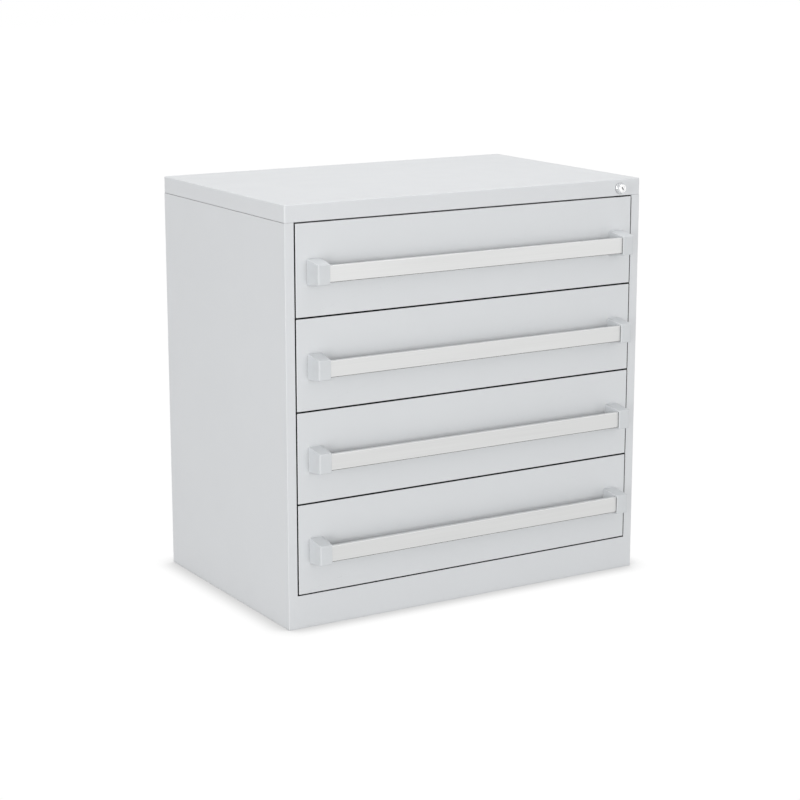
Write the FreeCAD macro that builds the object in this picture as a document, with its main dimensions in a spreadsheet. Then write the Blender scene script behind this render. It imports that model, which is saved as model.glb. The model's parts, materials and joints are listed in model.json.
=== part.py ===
"""Microscope slide cabinet: a painted steel case with four roller drawers and a key lock.

Case coordinates: x to the right from the middle, y back from the case's front face, z up from the
floor. Pieces of a drawer use the same x and y, with z up from the lower edge of the drawer's front.
Each node's Placement then moves it back or forward, so that the origin is under the middle of the
whole object, and lifts a drawer's pieces to the drawer's level.
"""
import FreeCAD, Part
import os

import Sketcher

DRAWERS = 4
ROWS = 7
NEAR = 0.01

# Driving dimensions in millimetres, and one angle in degrees.
DIMENSIONS = {
    # case
    "case_width": 762.0,
    "case_depth": 486.0,
    "case_sheet": 1.2,
    "bend_radius": 3.0,
    "stile_width": 18.6,
    "stile_return": 14.0,
    "back_lip": 20.0,
    "back_clearance": 3.0,
    "plinth_height": 61.4,
    "plinth_return": 14.0,
    "base_flange": 20.0,
    # top cap
    "cap_drop": 31.0,
    "cap_sheet": 1.5,
    "cap_edge_radius": 1.5,
    "cap_seam": 0.6,
    # inner frame
    "rail_inset": 1.0,
    "upright_setback": 24.0,
    "upright_depth": 32.0,
    "upright_sheet": 1.5,
    "cross_rail_height": 18.0,
    # drawer fronts
    "front_height": 165.65,
    "front_depth": 17.0,
    "front_proud": 1.2,
    "front_sheet": 1.2,
    "front_edge_radius": 1.0,
    "drawer_gap": 2.2,
    "side_gap": 1.9,
    # drawer trays
    "tray_sheet": 1.0,
    "tray_floor_level": 10.0,
    "tray_height": 112.0,
    "tray_clearance": 28.8,
    "tray_lip": 8.0,
    "liner_clearance": 0.3,
    "divider_width": 12.0,
    "divider_height": 50.0,
    "divider_sheet": 0.8,
    "divider_clearance": 0.5,
    # roller slides
    "slide_thickness": 12.7,
    "rail_sheet": 1.5,
    "rail_clearance": 7.6,
    "rail_level": 50.0,
    "flange_clearance": 1.0,
    "flange_setback": 0.8,
    "roller_radius": 11.0,
    "roller_width": 6.0,
    "roller_gap": 0.3,
    "roller_setback": 13.0,
    "roller_edge": 0.8,
    "axle_radius": 2.5,
    "axle_clearance": 0.05,
    "axle_head_radius": 3.2,
    "axle_head_thickness": 0.8,
    "axle_end_play": 0.2,
    # case rail screws
    "rail_screw_radius": 2.4,
    "rail_screw_drop": 6.5,
    "rail_screw_length": 5.0,
    "rail_head_radius": 3.0,
    "rail_head_thickness": 1.2,
    "screw_clearance": 0.1,
    # handles
    "handle_inset": 22.0,
    "handle_level": 79.3,
    "handle_reach": 41.0,
    "block_width": 24.0,
    "block_height": 36.0,
    "block_flare": 5.5,
    "block_side_flare": 4.5,
    "block_edge_radius": 3.0,
    "bar_height": 30.0,
    "bar_depth": 8.0,
    "bar_recess": 3.5,
    "bar_wall": 1.6,
    "bar_edge_radius": 1.5,
    "socket_depth": 10.0,
    "socket_clearance": 0.2,
    "handle_screw_radius": 2.0,
    "handle_screw_depth": 12.0,
    "handle_screw_spread": 9.0,
    "handle_screw_inset": 7.0,
    "handle_head_radius": 3.8,
    "handle_head_thickness": 2.4,
    # lock
    "lock_from_side": 46.4,
    "lock_drop": 16.8,
    "bezel_radius": 10.8,
    "bezel_thickness": 2.0,
    "nose_radius": 8.5,
    "nose_tip_radius": 7.8,
    "nose_length": 9.2,
    "barrel_radius": 9.5,
    "barrel_length": 15.5,
    "plug_radius": 5.5,
    "plug_recess": 0.4,
    "keyway_width": 2.2,
    "keyway_height": 3.1,
    "keyway_depth": 9.0,
    "keyway_step": 1.8,
    "lock_nut_radius": 13.6,
    "nut_thickness": 4.0,
    "drive_side": 7.0,
    "cam_gap": 0.5,
    "cam_thickness": 2.0,
    "cam_hub_radius": 7.5,
    "cam_tip_radius": 4.0,
    "cam_rest_angle": 45.0,
    "cam_stub_radius": 2.0,
    "cam_nut_radius": 4.0,
    "cam_nut_thickness": 2.2,
    "pin_circle": 12.0,
    "pin_radius": 2.0,
    "slot_clearance": 0.5,
    "slot_wall": 1.2,
    "bar_gap": 1.0,
    "bar_thickness": 2.0,
    "bar_width": 12.0,
    "bar_from_side": 4.0,
    "arm_half_height": 5.5,
    "tongue_level": 106.0,
    "tongue_height": 10.0,
    "tongue_clearance": 2.8,
    "catch_level": 92.0,
    "catch_height": 12.0,
    "catch_gap": 1.5,
    "catch_thickness": 2.0,
    "catch_reach": 9.5,
    "catch_foot": 14.0,
    "guide_level": 20.0,
    "guide_height": 12.0,
    "guide_wall": 2.5,
    "guide_lip": 1.5,
    "guide_clearance": 0.3,
    # levelling feet
    "foot_inset": 26.0,
    "foot_setback": 26.0,
    "foot_pad_radius": 17.0,
    "foot_pad_height": 9.0,
    "foot_pad_bevel": 1.5,
    "foot_stem_radius": 5.0,
    "foot_stem_clearance": 5.0,
    "foot_clearance": 0.05,
    "bracket_width": 50.0,
    "bracket_clearance": 0.2,
    "bracket_thickness": 3.0,
    "bracket_leg": 15.0,
    "foot_nut_radius": 9.8,
    "foot_nut_thickness": 8.0,
}

doc = FreeCAD.newDocument("slide_cabinet")
dims = doc.addObject("Spreadsheet::Sheet", "dims")
for row, (alias, size) in enumerate(DIMENSIONS.items(), start=1):
    dims.set(f"A{row}", alias)
    dims.set(f"B{row}", str(size))
    dims.setAlias(f"B{row}", alias)
places = doc.addObject("App::VarSet", "places")
doc.recompute()

nodes = []


def derive(name, expression):
    """Keep a place that follows from the driving dimensions, and return how to refer to it."""
    places.addProperty("App::PropertyFloat", name, "places")
    places.setExpression(name, expression)
    return f"places.{name}"


def number(expression):
    """Evaluate an expression of the sheet, for picking edges."""
    return float(places.evalExpression(expression))


# Places in the case
half_case = derive("half_case", "dims.case_width / 2")
stile_edge = derive("stile_edge", "places.half_case - dims.stile_width")
rail_plane = derive("rail_plane", "places.stile_edge - dims.rail_inset")
cap_bottom = derive(
    "cap_bottom",
    f"dims.plinth_height + {DRAWERS} * (dims.drawer_gap + dims.front_height) + dims.drawer_gap")
case_top = derive("case_top", "places.cap_bottom + dims.cap_drop")
panel_top = derive("panel_top", "places.cap_bottom - dims.cap_seam")
frame_top = derive("frame_top", "places.case_top - dims.cap_sheet")
back_face = derive("back_face", "dims.case_depth - 2 * dims.case_sheet")
rear_upright = derive("rear_upright", "places.back_face - dims.upright_depth")
levels = [
    derive(f"level_{n + 1}",
           f"dims.plinth_height + dims.drawer_gap + {n} * (dims.drawer_gap + dims.front_height)")
    for n in range(DRAWERS)]

# Places in a drawer
front_half = derive("front_half", "places.stile_edge - dims.side_gap")
front_face = derive("front_face", "-dims.front_proud")
front_back = derive("front_back", "dims.front_depth - dims.front_proud")
tray_half = derive("tray_half", "places.rail_plane - dims.slide_thickness")
tray_back = derive("tray_back", "places.back_face - dims.tray_clearance")
tray_top = derive("tray_top", "dims.tray_floor_level + dims.tray_height")
row_half = derive("row_half", "places.tray_half - dims.tray_lip")
row_pitch = derive("row_pitch", f"(2 * places.row_half + dims.divider_width) / {ROWS}")
handle_half = derive("handle_half", "places.front_half - dims.handle_inset")
handle_face = derive("handle_face", "places.front_face - dims.handle_reach")
bar_face = derive("bar_face", "places.handle_face + dims.bar_recess")

# Places in a roller slide
track_half = derive("track_half", "dims.roller_radius + dims.roller_gap")
web_face = derive("web_face", "places.rail_plane - dims.rail_sheet")
tray_web_face = derive("tray_web_face", "places.tray_half + dims.rail_sheet")
roller_middle = derive("roller_middle", "(places.web_face + places.tray_web_face) / 2")
roller_inner = derive("roller_inner", "places.roller_middle - dims.roller_width / 2")
roller_outer = derive("roller_outer", "places.roller_middle + dims.roller_width / 2")
ledge = derive("ledge", "dims.rail_level + places.track_half + dims.rail_sheet + dims.flange_clearance")
case_roller_y = derive("case_roller_y", "dims.upright_setback + dims.roller_setback")
case_roller_z = derive("case_roller_z", "places.ledge - places.track_half")
tray_roller_y = derive("tray_roller_y", "places.tray_back - dims.roller_setback")

# Places in the lock
lock_x = derive("lock_x", "places.half_case - dims.lock_from_side")
lock_z = derive("lock_z", "places.case_top - dims.lock_drop")
cam_front = derive("cam_front", "dims.barrel_length + dims.cam_gap")
cam_back = derive("cam_back", "places.cam_front + dims.cam_thickness")
bar_front = derive("bar_front", "places.cam_back + dims.bar_gap")
bar_back = derive("bar_back", "places.bar_front + dims.bar_thickness")
bar_outer = derive("bar_outer", "places.half_case - dims.bar_from_side")
bar_inner = derive("bar_inner", "places.bar_outer - dims.bar_width")
pin_z = derive("pin_z", "places.lock_z + dims.pin_circle * sin(dims.cam_rest_angle)")
slot_low = derive(
    "slot_low",
    "places.lock_x + dims.pin_circle * cos(dims.cam_rest_angle) - dims.pin_radius - dims.slot_clearance")
slot_high = derive("slot_high",
                   "places.lock_x + dims.pin_circle + dims.pin_radius + dims.slot_clearance")

# The origin lies under the middle of the object, handles included.
node_y = derive("node_y", "-(dims.case_depth + places.handle_face) / 2")


# ---- shapes made of Part objects ----

ALONG = {
    "x": FreeCAD.Rotation(FreeCAD.Vector(0, 1, 0), 90),
    "y": FreeCAD.Rotation(FreeCAD.Vector(1, 0, 0), -90),
    "z": FreeCAD.Rotation(),
}


def bind(item, **expressions):
    """Bind an object's properties to expressions of the sheet."""
    for name, expression in expressions.items():
        item.setExpression(name, expression)


def put(item, x="0", y="0", z="0"):
    """Bind where an object's base point lies."""
    for axis, expression in zip("xyz", (x, y, z)):
        item.setExpression(f"Placement.Base.{axis}", expression)
    return item


def size_box(item, x_range, y_range, z_range):
    """Bind a box feature so that it fills three ranges."""
    for name, (low, high) in zip(("Length", "Width", "Height"), (x_range, y_range, z_range)):
        item.setExpression(name, f"({high}) - ({low})")
    return put(item, x_range[0], y_range[0], z_range[0])


def box(name, x_range, y_range, z_range):
    return size_box(doc.addObject("Part::Box", name), x_range, y_range, z_range)


def stand(kind, name, axis, start):
    """A primitive whose own z axis is turned to lie along x, y or z."""
    solid = doc.addObject(kind, name)
    solid.Placement = FreeCAD.Placement(FreeCAD.Vector(), ALONG[axis])
    return put(solid, *start)


def rod(name, axis, radius, start, length):
    solid = stand("Part::Cylinder", name, axis, start)
    bind(solid, Radius=radius, Height=length)
    return solid


def prism(name, axis, sides, radius, start, length):
    """A regular prism; the radius reaches its corners."""
    solid = stand("Part::Prism", name, axis, start)
    solid.Polygon = sides
    bind(solid, Circumradius=radius, Height=length)
    return solid


def join(name, pieces):
    solid = doc.addObject("Part::MultiFuse", name)
    solid.Shapes = pieces
    return solid


def cut(name, base, tools):
    """Take one or more tools away from a base."""
    solid = doc.addObject("Part::Cut", name)
    solid.Base = base
    solid.Tool = tools[0] if len(tools) == 1 else join(f"{name}_tools", tools)
    return solid


def mirror(item):
    """The same piece on the left of the cabinet."""
    copy = doc.addObject("Part::Mirroring", f"{item.Name}_left")
    copy.Source = item
    copy.Normal = FreeCAD.Vector(1, 0, 0)
    return copy


def group(name, pieces):
    """Keep several solids together as one node."""
    several = doc.addObject("Part::Compound", name)
    several.Links = pieces
    return several


def pair(name, pieces):
    """Group right-hand pieces with their mirrored copies."""
    return group(name, pieces + [mirror(piece) for piece in pieces])


def node(item, label, level="0", x="0", y=node_y):
    """Make an object one of the cabinet's nodes, placed in the row's frame."""
    item.Label = label
    put(item, x, y, level)
    nodes.append(item)
    return item


# ---- shapes made of PartDesign features ----

def new_body(name):
    return doc.addObject("PartDesign::Body", name)


def origin_plane(body, role):
    return next(item for item in body.Origin.OriginFeatures if item.Role == role)


def draw(body, role, outline, offset="0"):
    """Sketch a closed outline of corner points on one of the body's own planes."""
    sketch = body.newObject("Sketcher::SketchObject", f"{body.Name}_sketch")
    sketch.AttachmentSupport = (origin_plane(body, role), "")
    sketch.MapMode = "FlatFace"
    sketch.setExpression("AttachmentOffset.Base.z", offset)
    corners = [FreeCAD.Vector(number(across), number(up), 0) for across, up in outline]
    for index, corner in enumerate(corners):
        following = corners[(index + 1) % len(corners)]
        sketch.addGeometry(Part.LineSegment(corner, following), False)
    for index in range(len(corners)):
        sketch.addConstraint(Sketcher.Constraint("Coincident", index, 2, (index + 1) % len(corners), 1))
    for index, (across, up) in enumerate(outline):
        for kind, expression in (("DistanceX", across), ("DistanceY", up)):
            constraint = Sketcher.Constraint(kind, -1, 1, index, 1, number(expression))
            at = sketch.addConstraint(constraint)
            sketch.setExpression(f"Constraints[{at}]", expression)
    return sketch


def extrude(body, role, outline, start, length):
    """Pad an outline towards +x, +y or +z, from a start point on that axis."""
    forward = role != "XZ_Plane"
    sketch = draw(body, role, outline, start if forward else f"-({start})")
    pad = body.newObject("PartDesign::Pad", f"{body.Name}_pad")
    pad.Profile = sketch
    pad.Reversed = not forward
    bind(pad, Length=length)
    return pad


def revolve(body, outline):
    """Turn an outline of (radius, height) points about the body's z axis."""
    sketch = draw(body, "XZ_Plane", outline)
    turned = body.newObject("PartDesign::Revolution", f"{body.Name}_turned")
    turned.Profile = sketch
    turned.ReferenceAxis = (sketch, ["V_Axis"])
    turned.Angle = 360
    return turned


def add_box(body, x_range, y_range, z_range):
    return size_box(body.newObject("PartDesign::AdditiveBox", "block"), x_range, y_range, z_range)


def take_box(body, x_range, y_range, z_range):
    return size_box(body.newObject("PartDesign::SubtractiveBox", "pocket"), x_range, y_range, z_range)


def bore(body, axis, radius, start, length):
    hole = body.newObject("PartDesign::SubtractiveCylinder", "bore")
    hole.Placement = FreeCAD.Placement(FreeCAD.Vector(), ALONG[axis])
    bind(hole, Radius=radius, Height=length)
    return put(hole, *start)


def fillet(body, base, radius, wanted):
    """Round those edges of a feature that pass a test."""
    doc.recompute()
    names = [f"Edge{n}" for n, edge in enumerate(base.Shape.Edges, start=1) if wanted(edge)]
    rounded = body.newObject("PartDesign::Fillet", "rounding")
    rounded.Base = (base, names)
    bind(rounded, Radius=radius)
    return rounded


def upright_edge_at(x, y):
    """A test for the vertical edge that stands at a place in plan."""
    place_x, place_y = number(x), number(y)

    def wanted(edge):
        bounds = edge.BoundBox
        thin = bounds.XLength < NEAR and bounds.YLength < NEAR
        return thin and abs(bounds.XMin - place_x) < NEAR and abs(bounds.YMin - place_y) < NEAR
    return wanted


# ---- case ----

def make_top_cap():
    """A pan with a rim on all four sides, and the lock's hole at the right of its front rim."""
    body = new_body("cap")
    span = (f"-{half_case}", half_case)
    block = add_box(body, span, ("0", "dims.case_depth"), (cap_bottom, case_top))
    corners = fillet(body, block, "dims.bend_radius",
                     lambda edge: edge.BoundBox.ZLength > NEAR)
    top = number(case_top)
    fillet(body, corners, "dims.cap_edge_radius",
           lambda edge: edge.BoundBox.ZMin > top - NEAR)
    inside = (f"-{half_case} + dims.cap_sheet", f"{half_case} - dims.cap_sheet")
    take_box(body, inside, ("dims.cap_sheet", "dims.case_depth - dims.cap_sheet"),
             (cap_bottom, frame_top))
    bore(body, "y", "dims.barrel_radius + dims.screw_clearance",
         (lock_x, "0", lock_z), "dims.cap_sheet")
    node(body, "top_cap")


def make_side_panel(label, side):
    """A sheet folded round the front as a stile with a return, and round the back as a lip."""
    body = new_body(label)
    inner = f"({half_case} - dims.case_sheet)"
    lip = f"({half_case} - dims.back_lip)"
    hem = f"({stile_edge} + dims.case_sheet)"
    rear = "(dims.case_depth - dims.case_sheet)"
    plan = [
        (stile_edge, "0"), (half_case, "0"), (half_case, "dims.case_depth"),
        (lip, "dims.case_depth"), (lip, rear), (inner, rear),
        (inner, "dims.case_sheet"), (hem, "dims.case_sheet"),
        (hem, "dims.stile_return"), (stile_edge, "dims.stile_return")]
    outline = [(f"{side} * {x}", y) for x, y in plan]
    pad = extrude(body, "XY_Plane", outline, "0", panel_top)
    for y_outer, y_inner in (("0", "dims.case_sheet"), ("dims.case_depth", rear)):
        pad = fillet(body, pad, "dims.bend_radius",
                     upright_edge_at(f"{side} * {half_case}", y_outer))
        pad = fillet(body, pad, "dims.bend_radius - dims.case_sheet",
                     upright_edge_at(f"{side} * {inner}", y_inner))
    node(body, label)


def make_back_panel():
    """A plain sheet behind the lips of the side panels."""
    body = new_body("back")
    edge = f"({half_case} - dims.case_sheet - dims.back_clearance)"
    add_box(body, (f"-{edge}", edge), (back_face, "dims.case_depth - dims.case_sheet"),
            ("0", panel_top))
    node(body, "back_panel")


def make_base_pan():
    """The floor of the case, with a flange turned down on each side."""
    pan = box("pan", (f"-{rail_plane}", rail_plane), ("dims.case_sheet", back_face),
              ("dims.plinth_height - dims.case_sheet - dims.base_flange",
               "dims.plinth_height - dims.case_sheet"))
    hollow = box("pan_hollow",
                 (f"-{rail_plane} + dims.case_sheet", f"{rail_plane} - dims.case_sheet"),
                 ("2 * dims.case_sheet", f"{back_face} - dims.case_sheet"),
                 ("dims.plinth_height - dims.case_sheet - dims.base_flange",
                  "dims.plinth_height - 2 * dims.case_sheet"))
    node(cut("base", pan, [hollow]), "base_pan")


def make_plinth_front():
    """A channel across the front between the stiles, open towards the back."""
    body = new_body("plinth")
    section = [
        ("0", "0"), ("dims.plinth_return", "0"), ("dims.plinth_return", "dims.case_sheet"),
        ("dims.case_sheet", "dims.case_sheet"),
        ("dims.case_sheet", "dims.plinth_height - dims.case_sheet"),
        ("dims.plinth_return", "dims.plinth_height - dims.case_sheet"),
        ("dims.plinth_return", "dims.plinth_height"), ("0", "dims.plinth_height")]
    extrude(body, "YZ_Plane", section, f"-{stile_edge}", f"2 * {stile_edge}")
    node(body, "plinth_front")


def rail_screw_places():
    """Where a right-hand case rail is screwed to the front and the rear upright."""
    return ("dims.upright_setback + dims.upright_depth / 2",
            f"{rear_upright} + dims.upright_depth / 2")


def rail_screw_z(level):
    return f"{level} + dims.rail_level - dims.rail_screw_drop"


def make_upright(name, front, screw_y):
    """A right-hand channel that opens towards the side panel, with a hole for each rail screw."""
    body = new_body(name)
    outer = f"({half_case} - dims.cap_sheet)"
    web = f"({rail_plane} + dims.upright_sheet)"
    back = f"({front} + dims.upright_depth)"
    plan = [
        (rail_plane, front), (outer, front), (outer, f"{front} + dims.upright_sheet"),
        (web, f"{front} + dims.upright_sheet"), (web, f"{back} - dims.upright_sheet"),
        (outer, f"{back} - dims.upright_sheet"), (outer, back), (rail_plane, back)]
    extrude(body, "XY_Plane", plan, "0", frame_top)
    for level in levels:
        bore(body, "x", "dims.rail_screw_radius + dims.screw_clearance",
             (rail_plane, screw_y, rail_screw_z(level)), "dims.upright_sheet")
    return body


def make_cross_rail(name, front):
    """A channel across the top, open downwards, that the cap rests on."""
    body = new_body(name)
    low = f"({frame_top} - dims.cross_rail_height)"
    back = f"({front} + dims.upright_depth)"
    section = [
        (front, low), (f"{front} + dims.upright_sheet", low),
        (f"{front} + dims.upright_sheet", f"{frame_top} - dims.upright_sheet"),
        (f"{back} - dims.upright_sheet", f"{frame_top} - dims.upright_sheet"),
        (f"{back} - dims.upright_sheet", low), (back, low),
        (back, frame_top), (front, frame_top)]
    extrude(body, "YZ_Plane", section, f"-{rail_plane}", f"2 * {rail_plane}")
    return body


def make_inner_frame():
    front_screw, rear_screw = rail_screw_places()
    right = [
        make_upright("front_upright", "dims.upright_setback", front_screw),
        make_upright("rear_upright", rear_upright, rear_screw)]
    across = [
        make_cross_rail("front_cross_rail", "dims.upright_setback"),
        make_cross_rail("rear_cross_rail", rear_upright)]
    pieces = right + [mirror(piece) for piece in right] + across
    node(group("frame", pieces), "inner_frame")


# ---- roller slides ----

def make_case_rail(number_of_drawer, level):
    """A right-hand channel that opens towards the tray, cut away over its front roller."""
    body = new_body(f"case_rail_{number_of_drawer}")
    middle = f"({level} + dims.rail_level)"
    tip = f"({tray_web_face} + dims.flange_clearance)"
    section = [
        (rail_plane, f"{middle} - {track_half} - dims.rail_sheet"),
        (rail_plane, f"{middle} + {track_half} + dims.rail_sheet"),
        (tip, f"{middle} + {track_half} + dims.rail_sheet"), (tip, f"{middle} + {track_half}"),
        (web_face, f"{middle} + {track_half}"), (web_face, f"{middle} - {track_half}"),
        (tip, f"{middle} - {track_half}"), (tip, f"{middle} - {track_half} - dims.rail_sheet")]
    start = "dims.upright_setback"
    extrude(body, "XZ_Plane", section, start, f"{back_face} - dims.rail_clearance - {start}")
    take_box(body, (tip, web_face), (start, f"{case_roller_y} + {track_half}"),
             (f"{middle} + {track_half}", f"{middle} + {track_half} + dims.rail_sheet"))
    for screw_y in rail_screw_places():
        bore(body, "x", "dims.rail_screw_radius + dims.screw_clearance",
             (web_face, screw_y, rail_screw_z(level)), "dims.rail_sheet")
    return body


def make_axle(name, web, head_side, y, z):
    """A headed stud on a rail's web: head_side is 1 where the head is to the right of the web."""
    if head_side > 0:
        head_start = f"({roller_outer} + dims.axle_end_play)"
        shank_start, shank_end = web, head_start
    else:
        head_start = f"({roller_inner} - dims.axle_end_play - dims.axle_head_thickness)"
        shank_start, shank_end = f"({head_start} + dims.axle_head_thickness)", web
    shank = rod(f"{name}_shank", "x", "dims.axle_radius", (shank_start, y, z),
                f"{shank_end} - {shank_start}")
    head = rod(f"{name}_head", "x", "dims.axle_head_radius", (head_start, y, z),
               "dims.axle_head_thickness")
    return join(name, [shank, head])


def make_roller(name, y, z):
    """A nylon wheel with bevelled rims, bored to run on its axle."""
    body = new_body(name)
    bore_radius = "(dims.axle_radius + dims.axle_clearance)"
    width = "dims.roller_width"
    section = [
        (bore_radius, "0"), ("dims.roller_radius - dims.roller_edge", "0"),
        ("dims.roller_radius", "dims.roller_edge"),
        ("dims.roller_radius", f"{width} - dims.roller_edge"),
        ("dims.roller_radius - dims.roller_edge", width), (bore_radius, width)]
    revolve(body, section)
    body.Placement = FreeCAD.Placement(FreeCAD.Vector(), ALONG["x"])
    return put(body, roller_inner, y, z)


def make_case_rails():
    pieces = []
    for n, level in enumerate(levels, start=1):
        rail = make_case_rail(n, level)
        axle = make_axle(f"case_axle_{n}", web_face, -1, case_roller_y, f"{level} + {case_roller_z}")
        pieces += [rail, axle]
    node(pair("rails", pieces), "case_rails")


def make_case_rail_screws():
    pieces = []
    for n, level in enumerate(levels, start=1):
        for screw_y in rail_screw_places():
            height = rail_screw_z(level)
            head = rod(f"rail_head_{n}", "x", "dims.rail_head_radius",
                       (f"{web_face} - dims.rail_head_thickness", screw_y, height),
                       "dims.rail_head_thickness")
            shank = rod(f"rail_shank_{n}", "x", "dims.rail_screw_radius",
                        (web_face, screw_y, height), "dims.rail_sheet + dims.rail_screw_length")
            pieces.append(join(f"rail_screw_{n}", [head, shank]))
    node(pair("screws", pieces), "case_rail_screws")


def make_tray_rails(drawer, level):
    """Right and left rails whose top flange runs on the case's rollers, with a rear axle each."""
    body = new_body(f"{drawer}_rail")
    low = "(dims.rail_level - dims.roller_radius)"
    tip = f"({rail_plane} - dims.flange_setback)"
    top = f"({ledge} + dims.rail_sheet)"
    section = [
        (tray_half, low), (tray_web_face, low), (tray_web_face, ledge), (tip, ledge),
        (tip, top), (tray_half, top)]
    start = "dims.upright_setback"
    extrude(body, "XZ_Plane", section, start, f"{tray_back} - {start}")
    axle = make_axle(f"{drawer}_axle", tray_web_face, 1, tray_roller_y, "dims.rail_level")
    node(pair(f"{drawer}_rails", [body, axle]), f"{drawer}_tray_rails", level)


def make_rollers(drawer, level):
    case_roller = make_roller(f"{drawer}_case_roller", case_roller_y, case_roller_z)
    node(pair(f"{drawer}_front_pair", [case_roller]), f"{drawer}_case_rollers", level)
    tray_roller = make_roller(f"{drawer}_tray_roller", tray_roller_y, "dims.rail_level")
    node(pair(f"{drawer}_rear_pair", [tray_roller]), f"{drawer}_tray_rollers", level)


# ---- drawers ----

def handle_screw_places():
    """Where the screws of the right-hand handle block stand: x, then the two heights."""
    x = f"({handle_half} - dims.handle_screw_inset)"
    heights = ("(dims.handle_level - dims.handle_screw_spread)",
               "(dims.handle_level + dims.handle_screw_spread)")
    return x, heights


def make_front(drawer, level):
    """A shallow pan, open at the back, with soft edges and holes for the handle screws."""
    body = new_body(f"{drawer}_pan")
    block = add_box(body, (f"-{front_half}", front_half), (front_face, front_back),
                    ("0", "dims.front_height"))
    back = number(front_back)
    fillet(body, block, "dims.front_edge_radius",
           lambda edge: edge.BoundBox.YMin < back - NEAR)
    sheet = "dims.front_sheet"
    take_box(body, (f"-{front_half} + {sheet}", f"{front_half} - {sheet}"),
             (f"{front_face} + {sheet}", front_back),
             (sheet, f"dims.front_height - {sheet}"))
    x, heights = handle_screw_places()
    for hole_x in (x, f"-{x}"):
        for height in heights:
            bore(body, "y", "dims.handle_screw_radius + dims.screw_clearance",
                 (hole_x, front_face, height), sheet)
    node(body, f"{drawer}_front", level)


def make_tray(drawer, level):
    """An open box of folded sheet with a lip round its mouth and a liner that closes the front."""
    body = new_body(f"{drawer}_box")
    sheet = "dims.tray_sheet"
    floor = "dims.tray_floor_level"
    add_box(body, (f"-{tray_half}", tray_half), (front_back, tray_back), (floor, tray_top))
    take_box(body, (f"-{tray_half} + {sheet}", f"{tray_half} - {sheet}"),
             (f"{front_back} + {sheet}", f"{tray_back} - {sheet}"),
             (f"{floor} + {sheet}", f"{tray_top} - {sheet}"))
    take_box(body, (f"-{row_half}", row_half),
             (f"{front_back} + dims.tray_lip", f"{tray_back} - dims.tray_lip"),
             (f"{tray_top} - {sheet}", tray_top))
    reach = f"({front_half} - dims.front_sheet - dims.liner_clearance)"
    margin = "(dims.front_sheet + dims.liner_clearance)"
    add_box(body, (f"-{reach}", reach), (f"{front_back} - {sheet}", front_back),
            (margin, f"dims.front_height - {margin}"))
    node(body, f"{drawer}_tray", level)


def make_row_dividers(drawer, level):
    """Folded dividers, open below, that part the tray into rows."""
    body = new_body(f"{drawer}_divider")
    middle = f"({row_pitch} - {row_half} - dims.divider_width / 2)"
    left = f"({middle} - dims.divider_width / 2)"
    right = f"({middle} + dims.divider_width / 2)"
    floor = "(dims.tray_floor_level + dims.tray_sheet)"
    top = f"({floor} + dims.divider_height)"
    sheet = "dims.divider_sheet"
    section = [
        (left, floor), (f"{left} + {sheet}", floor), (f"{left} + {sheet}", f"{top} - {sheet}"),
        (f"{right} - {sheet}", f"{top} - {sheet}"), (f"{right} - {sheet}", floor),
        (right, floor), (right, top), (left, top)]
    margin = "(dims.tray_sheet + dims.divider_clearance)"
    pad = extrude(body, "XZ_Plane", section, f"{front_back} + {margin}",
                  f"{tray_back} - {front_back} - 2 * {margin}")
    rows = body.newObject("PartDesign::LinearPattern", "rows")
    rows.Originals = [pad]
    rows.Direction = (origin_plane(body, "X_Axis"), [""])
    rows.Occurrences = ROWS - 1
    bind(rows, Length=f"({ROWS} - 2) * {row_pitch}")
    body.Tip = rows
    node(body, f"{drawer}_row_dividers", level)


def make_handle_ends(drawer, level):
    """Right and left blocks that flare towards the drawer front, with a bar socket and screw holes."""
    body = new_body(f"{drawer}_block")
    inner = f"({handle_half} - dims.block_width)"
    low = "(dims.handle_level - dims.block_height / 2)"
    high = "(dims.handle_level + dims.block_height / 2)"
    seat_inner = f"({inner} - dims.block_side_flare)"
    block = body.newObject("PartDesign::AdditiveWedge", "block")
    bind(block, Ymin=handle_face, Ymax=front_face, Xmin=inner, Xmax=handle_half, Zmin=low, Zmax=high,
         X2min=seat_inner, X2max=handle_half,
         Z2min=f"{low} - dims.block_flare", Z2max=f"{high} + dims.block_flare")
    seat = number(front_face)
    fillet(body, block, "dims.block_edge_radius",
           lambda edge: edge.BoundBox.YMin < seat - NEAR)
    slack = "dims.socket_clearance"
    take_box(body, (seat_inner, f"{inner} + dims.socket_depth"),
             (f"{bar_face} - {slack}", f"{bar_face} + dims.bar_depth + {slack}"),
             (f"dims.handle_level - dims.bar_height / 2 - {slack}",
              f"dims.handle_level + dims.bar_height / 2 + {slack}"))
    x, heights = handle_screw_places()
    for height in heights:
        bore(body, "y", "dims.handle_screw_radius + dims.axle_clearance",
             (x, f"{front_face} - dims.handle_screw_depth", height), "dims.handle_screw_depth")
    node(pair(f"{drawer}_ends", [body]), f"{drawer}_handle_ends", level)


def make_handle_bar(drawer, level):
    """A hollow rectangular extrusion with soft edges, held between the two blocks."""
    body = new_body(f"{drawer}_bar")
    end = f"({handle_half} - dims.block_width + dims.socket_depth - dims.socket_clearance)"
    low = "(dims.handle_level - dims.bar_height / 2)"
    high = "(dims.handle_level + dims.bar_height / 2)"
    back = f"({bar_face} + dims.bar_depth)"
    section = [(bar_face, low), (back, low), (back, high), (bar_face, high)]
    pad = extrude(body, "YZ_Plane", section, f"-{end}", f"2 * {end}")
    fillet(body, pad, "dims.bar_edge_radius", lambda edge: edge.BoundBox.XLength > NEAR)
    wall = "dims.bar_wall"
    take_box(body, (f"-{end}", end), (f"{bar_face} + {wall}", f"{back} - {wall}"),
             (f"{low} + {wall}", f"{high} - {wall}"))
    node(body, f"{drawer}_handle_bar", level)


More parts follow.
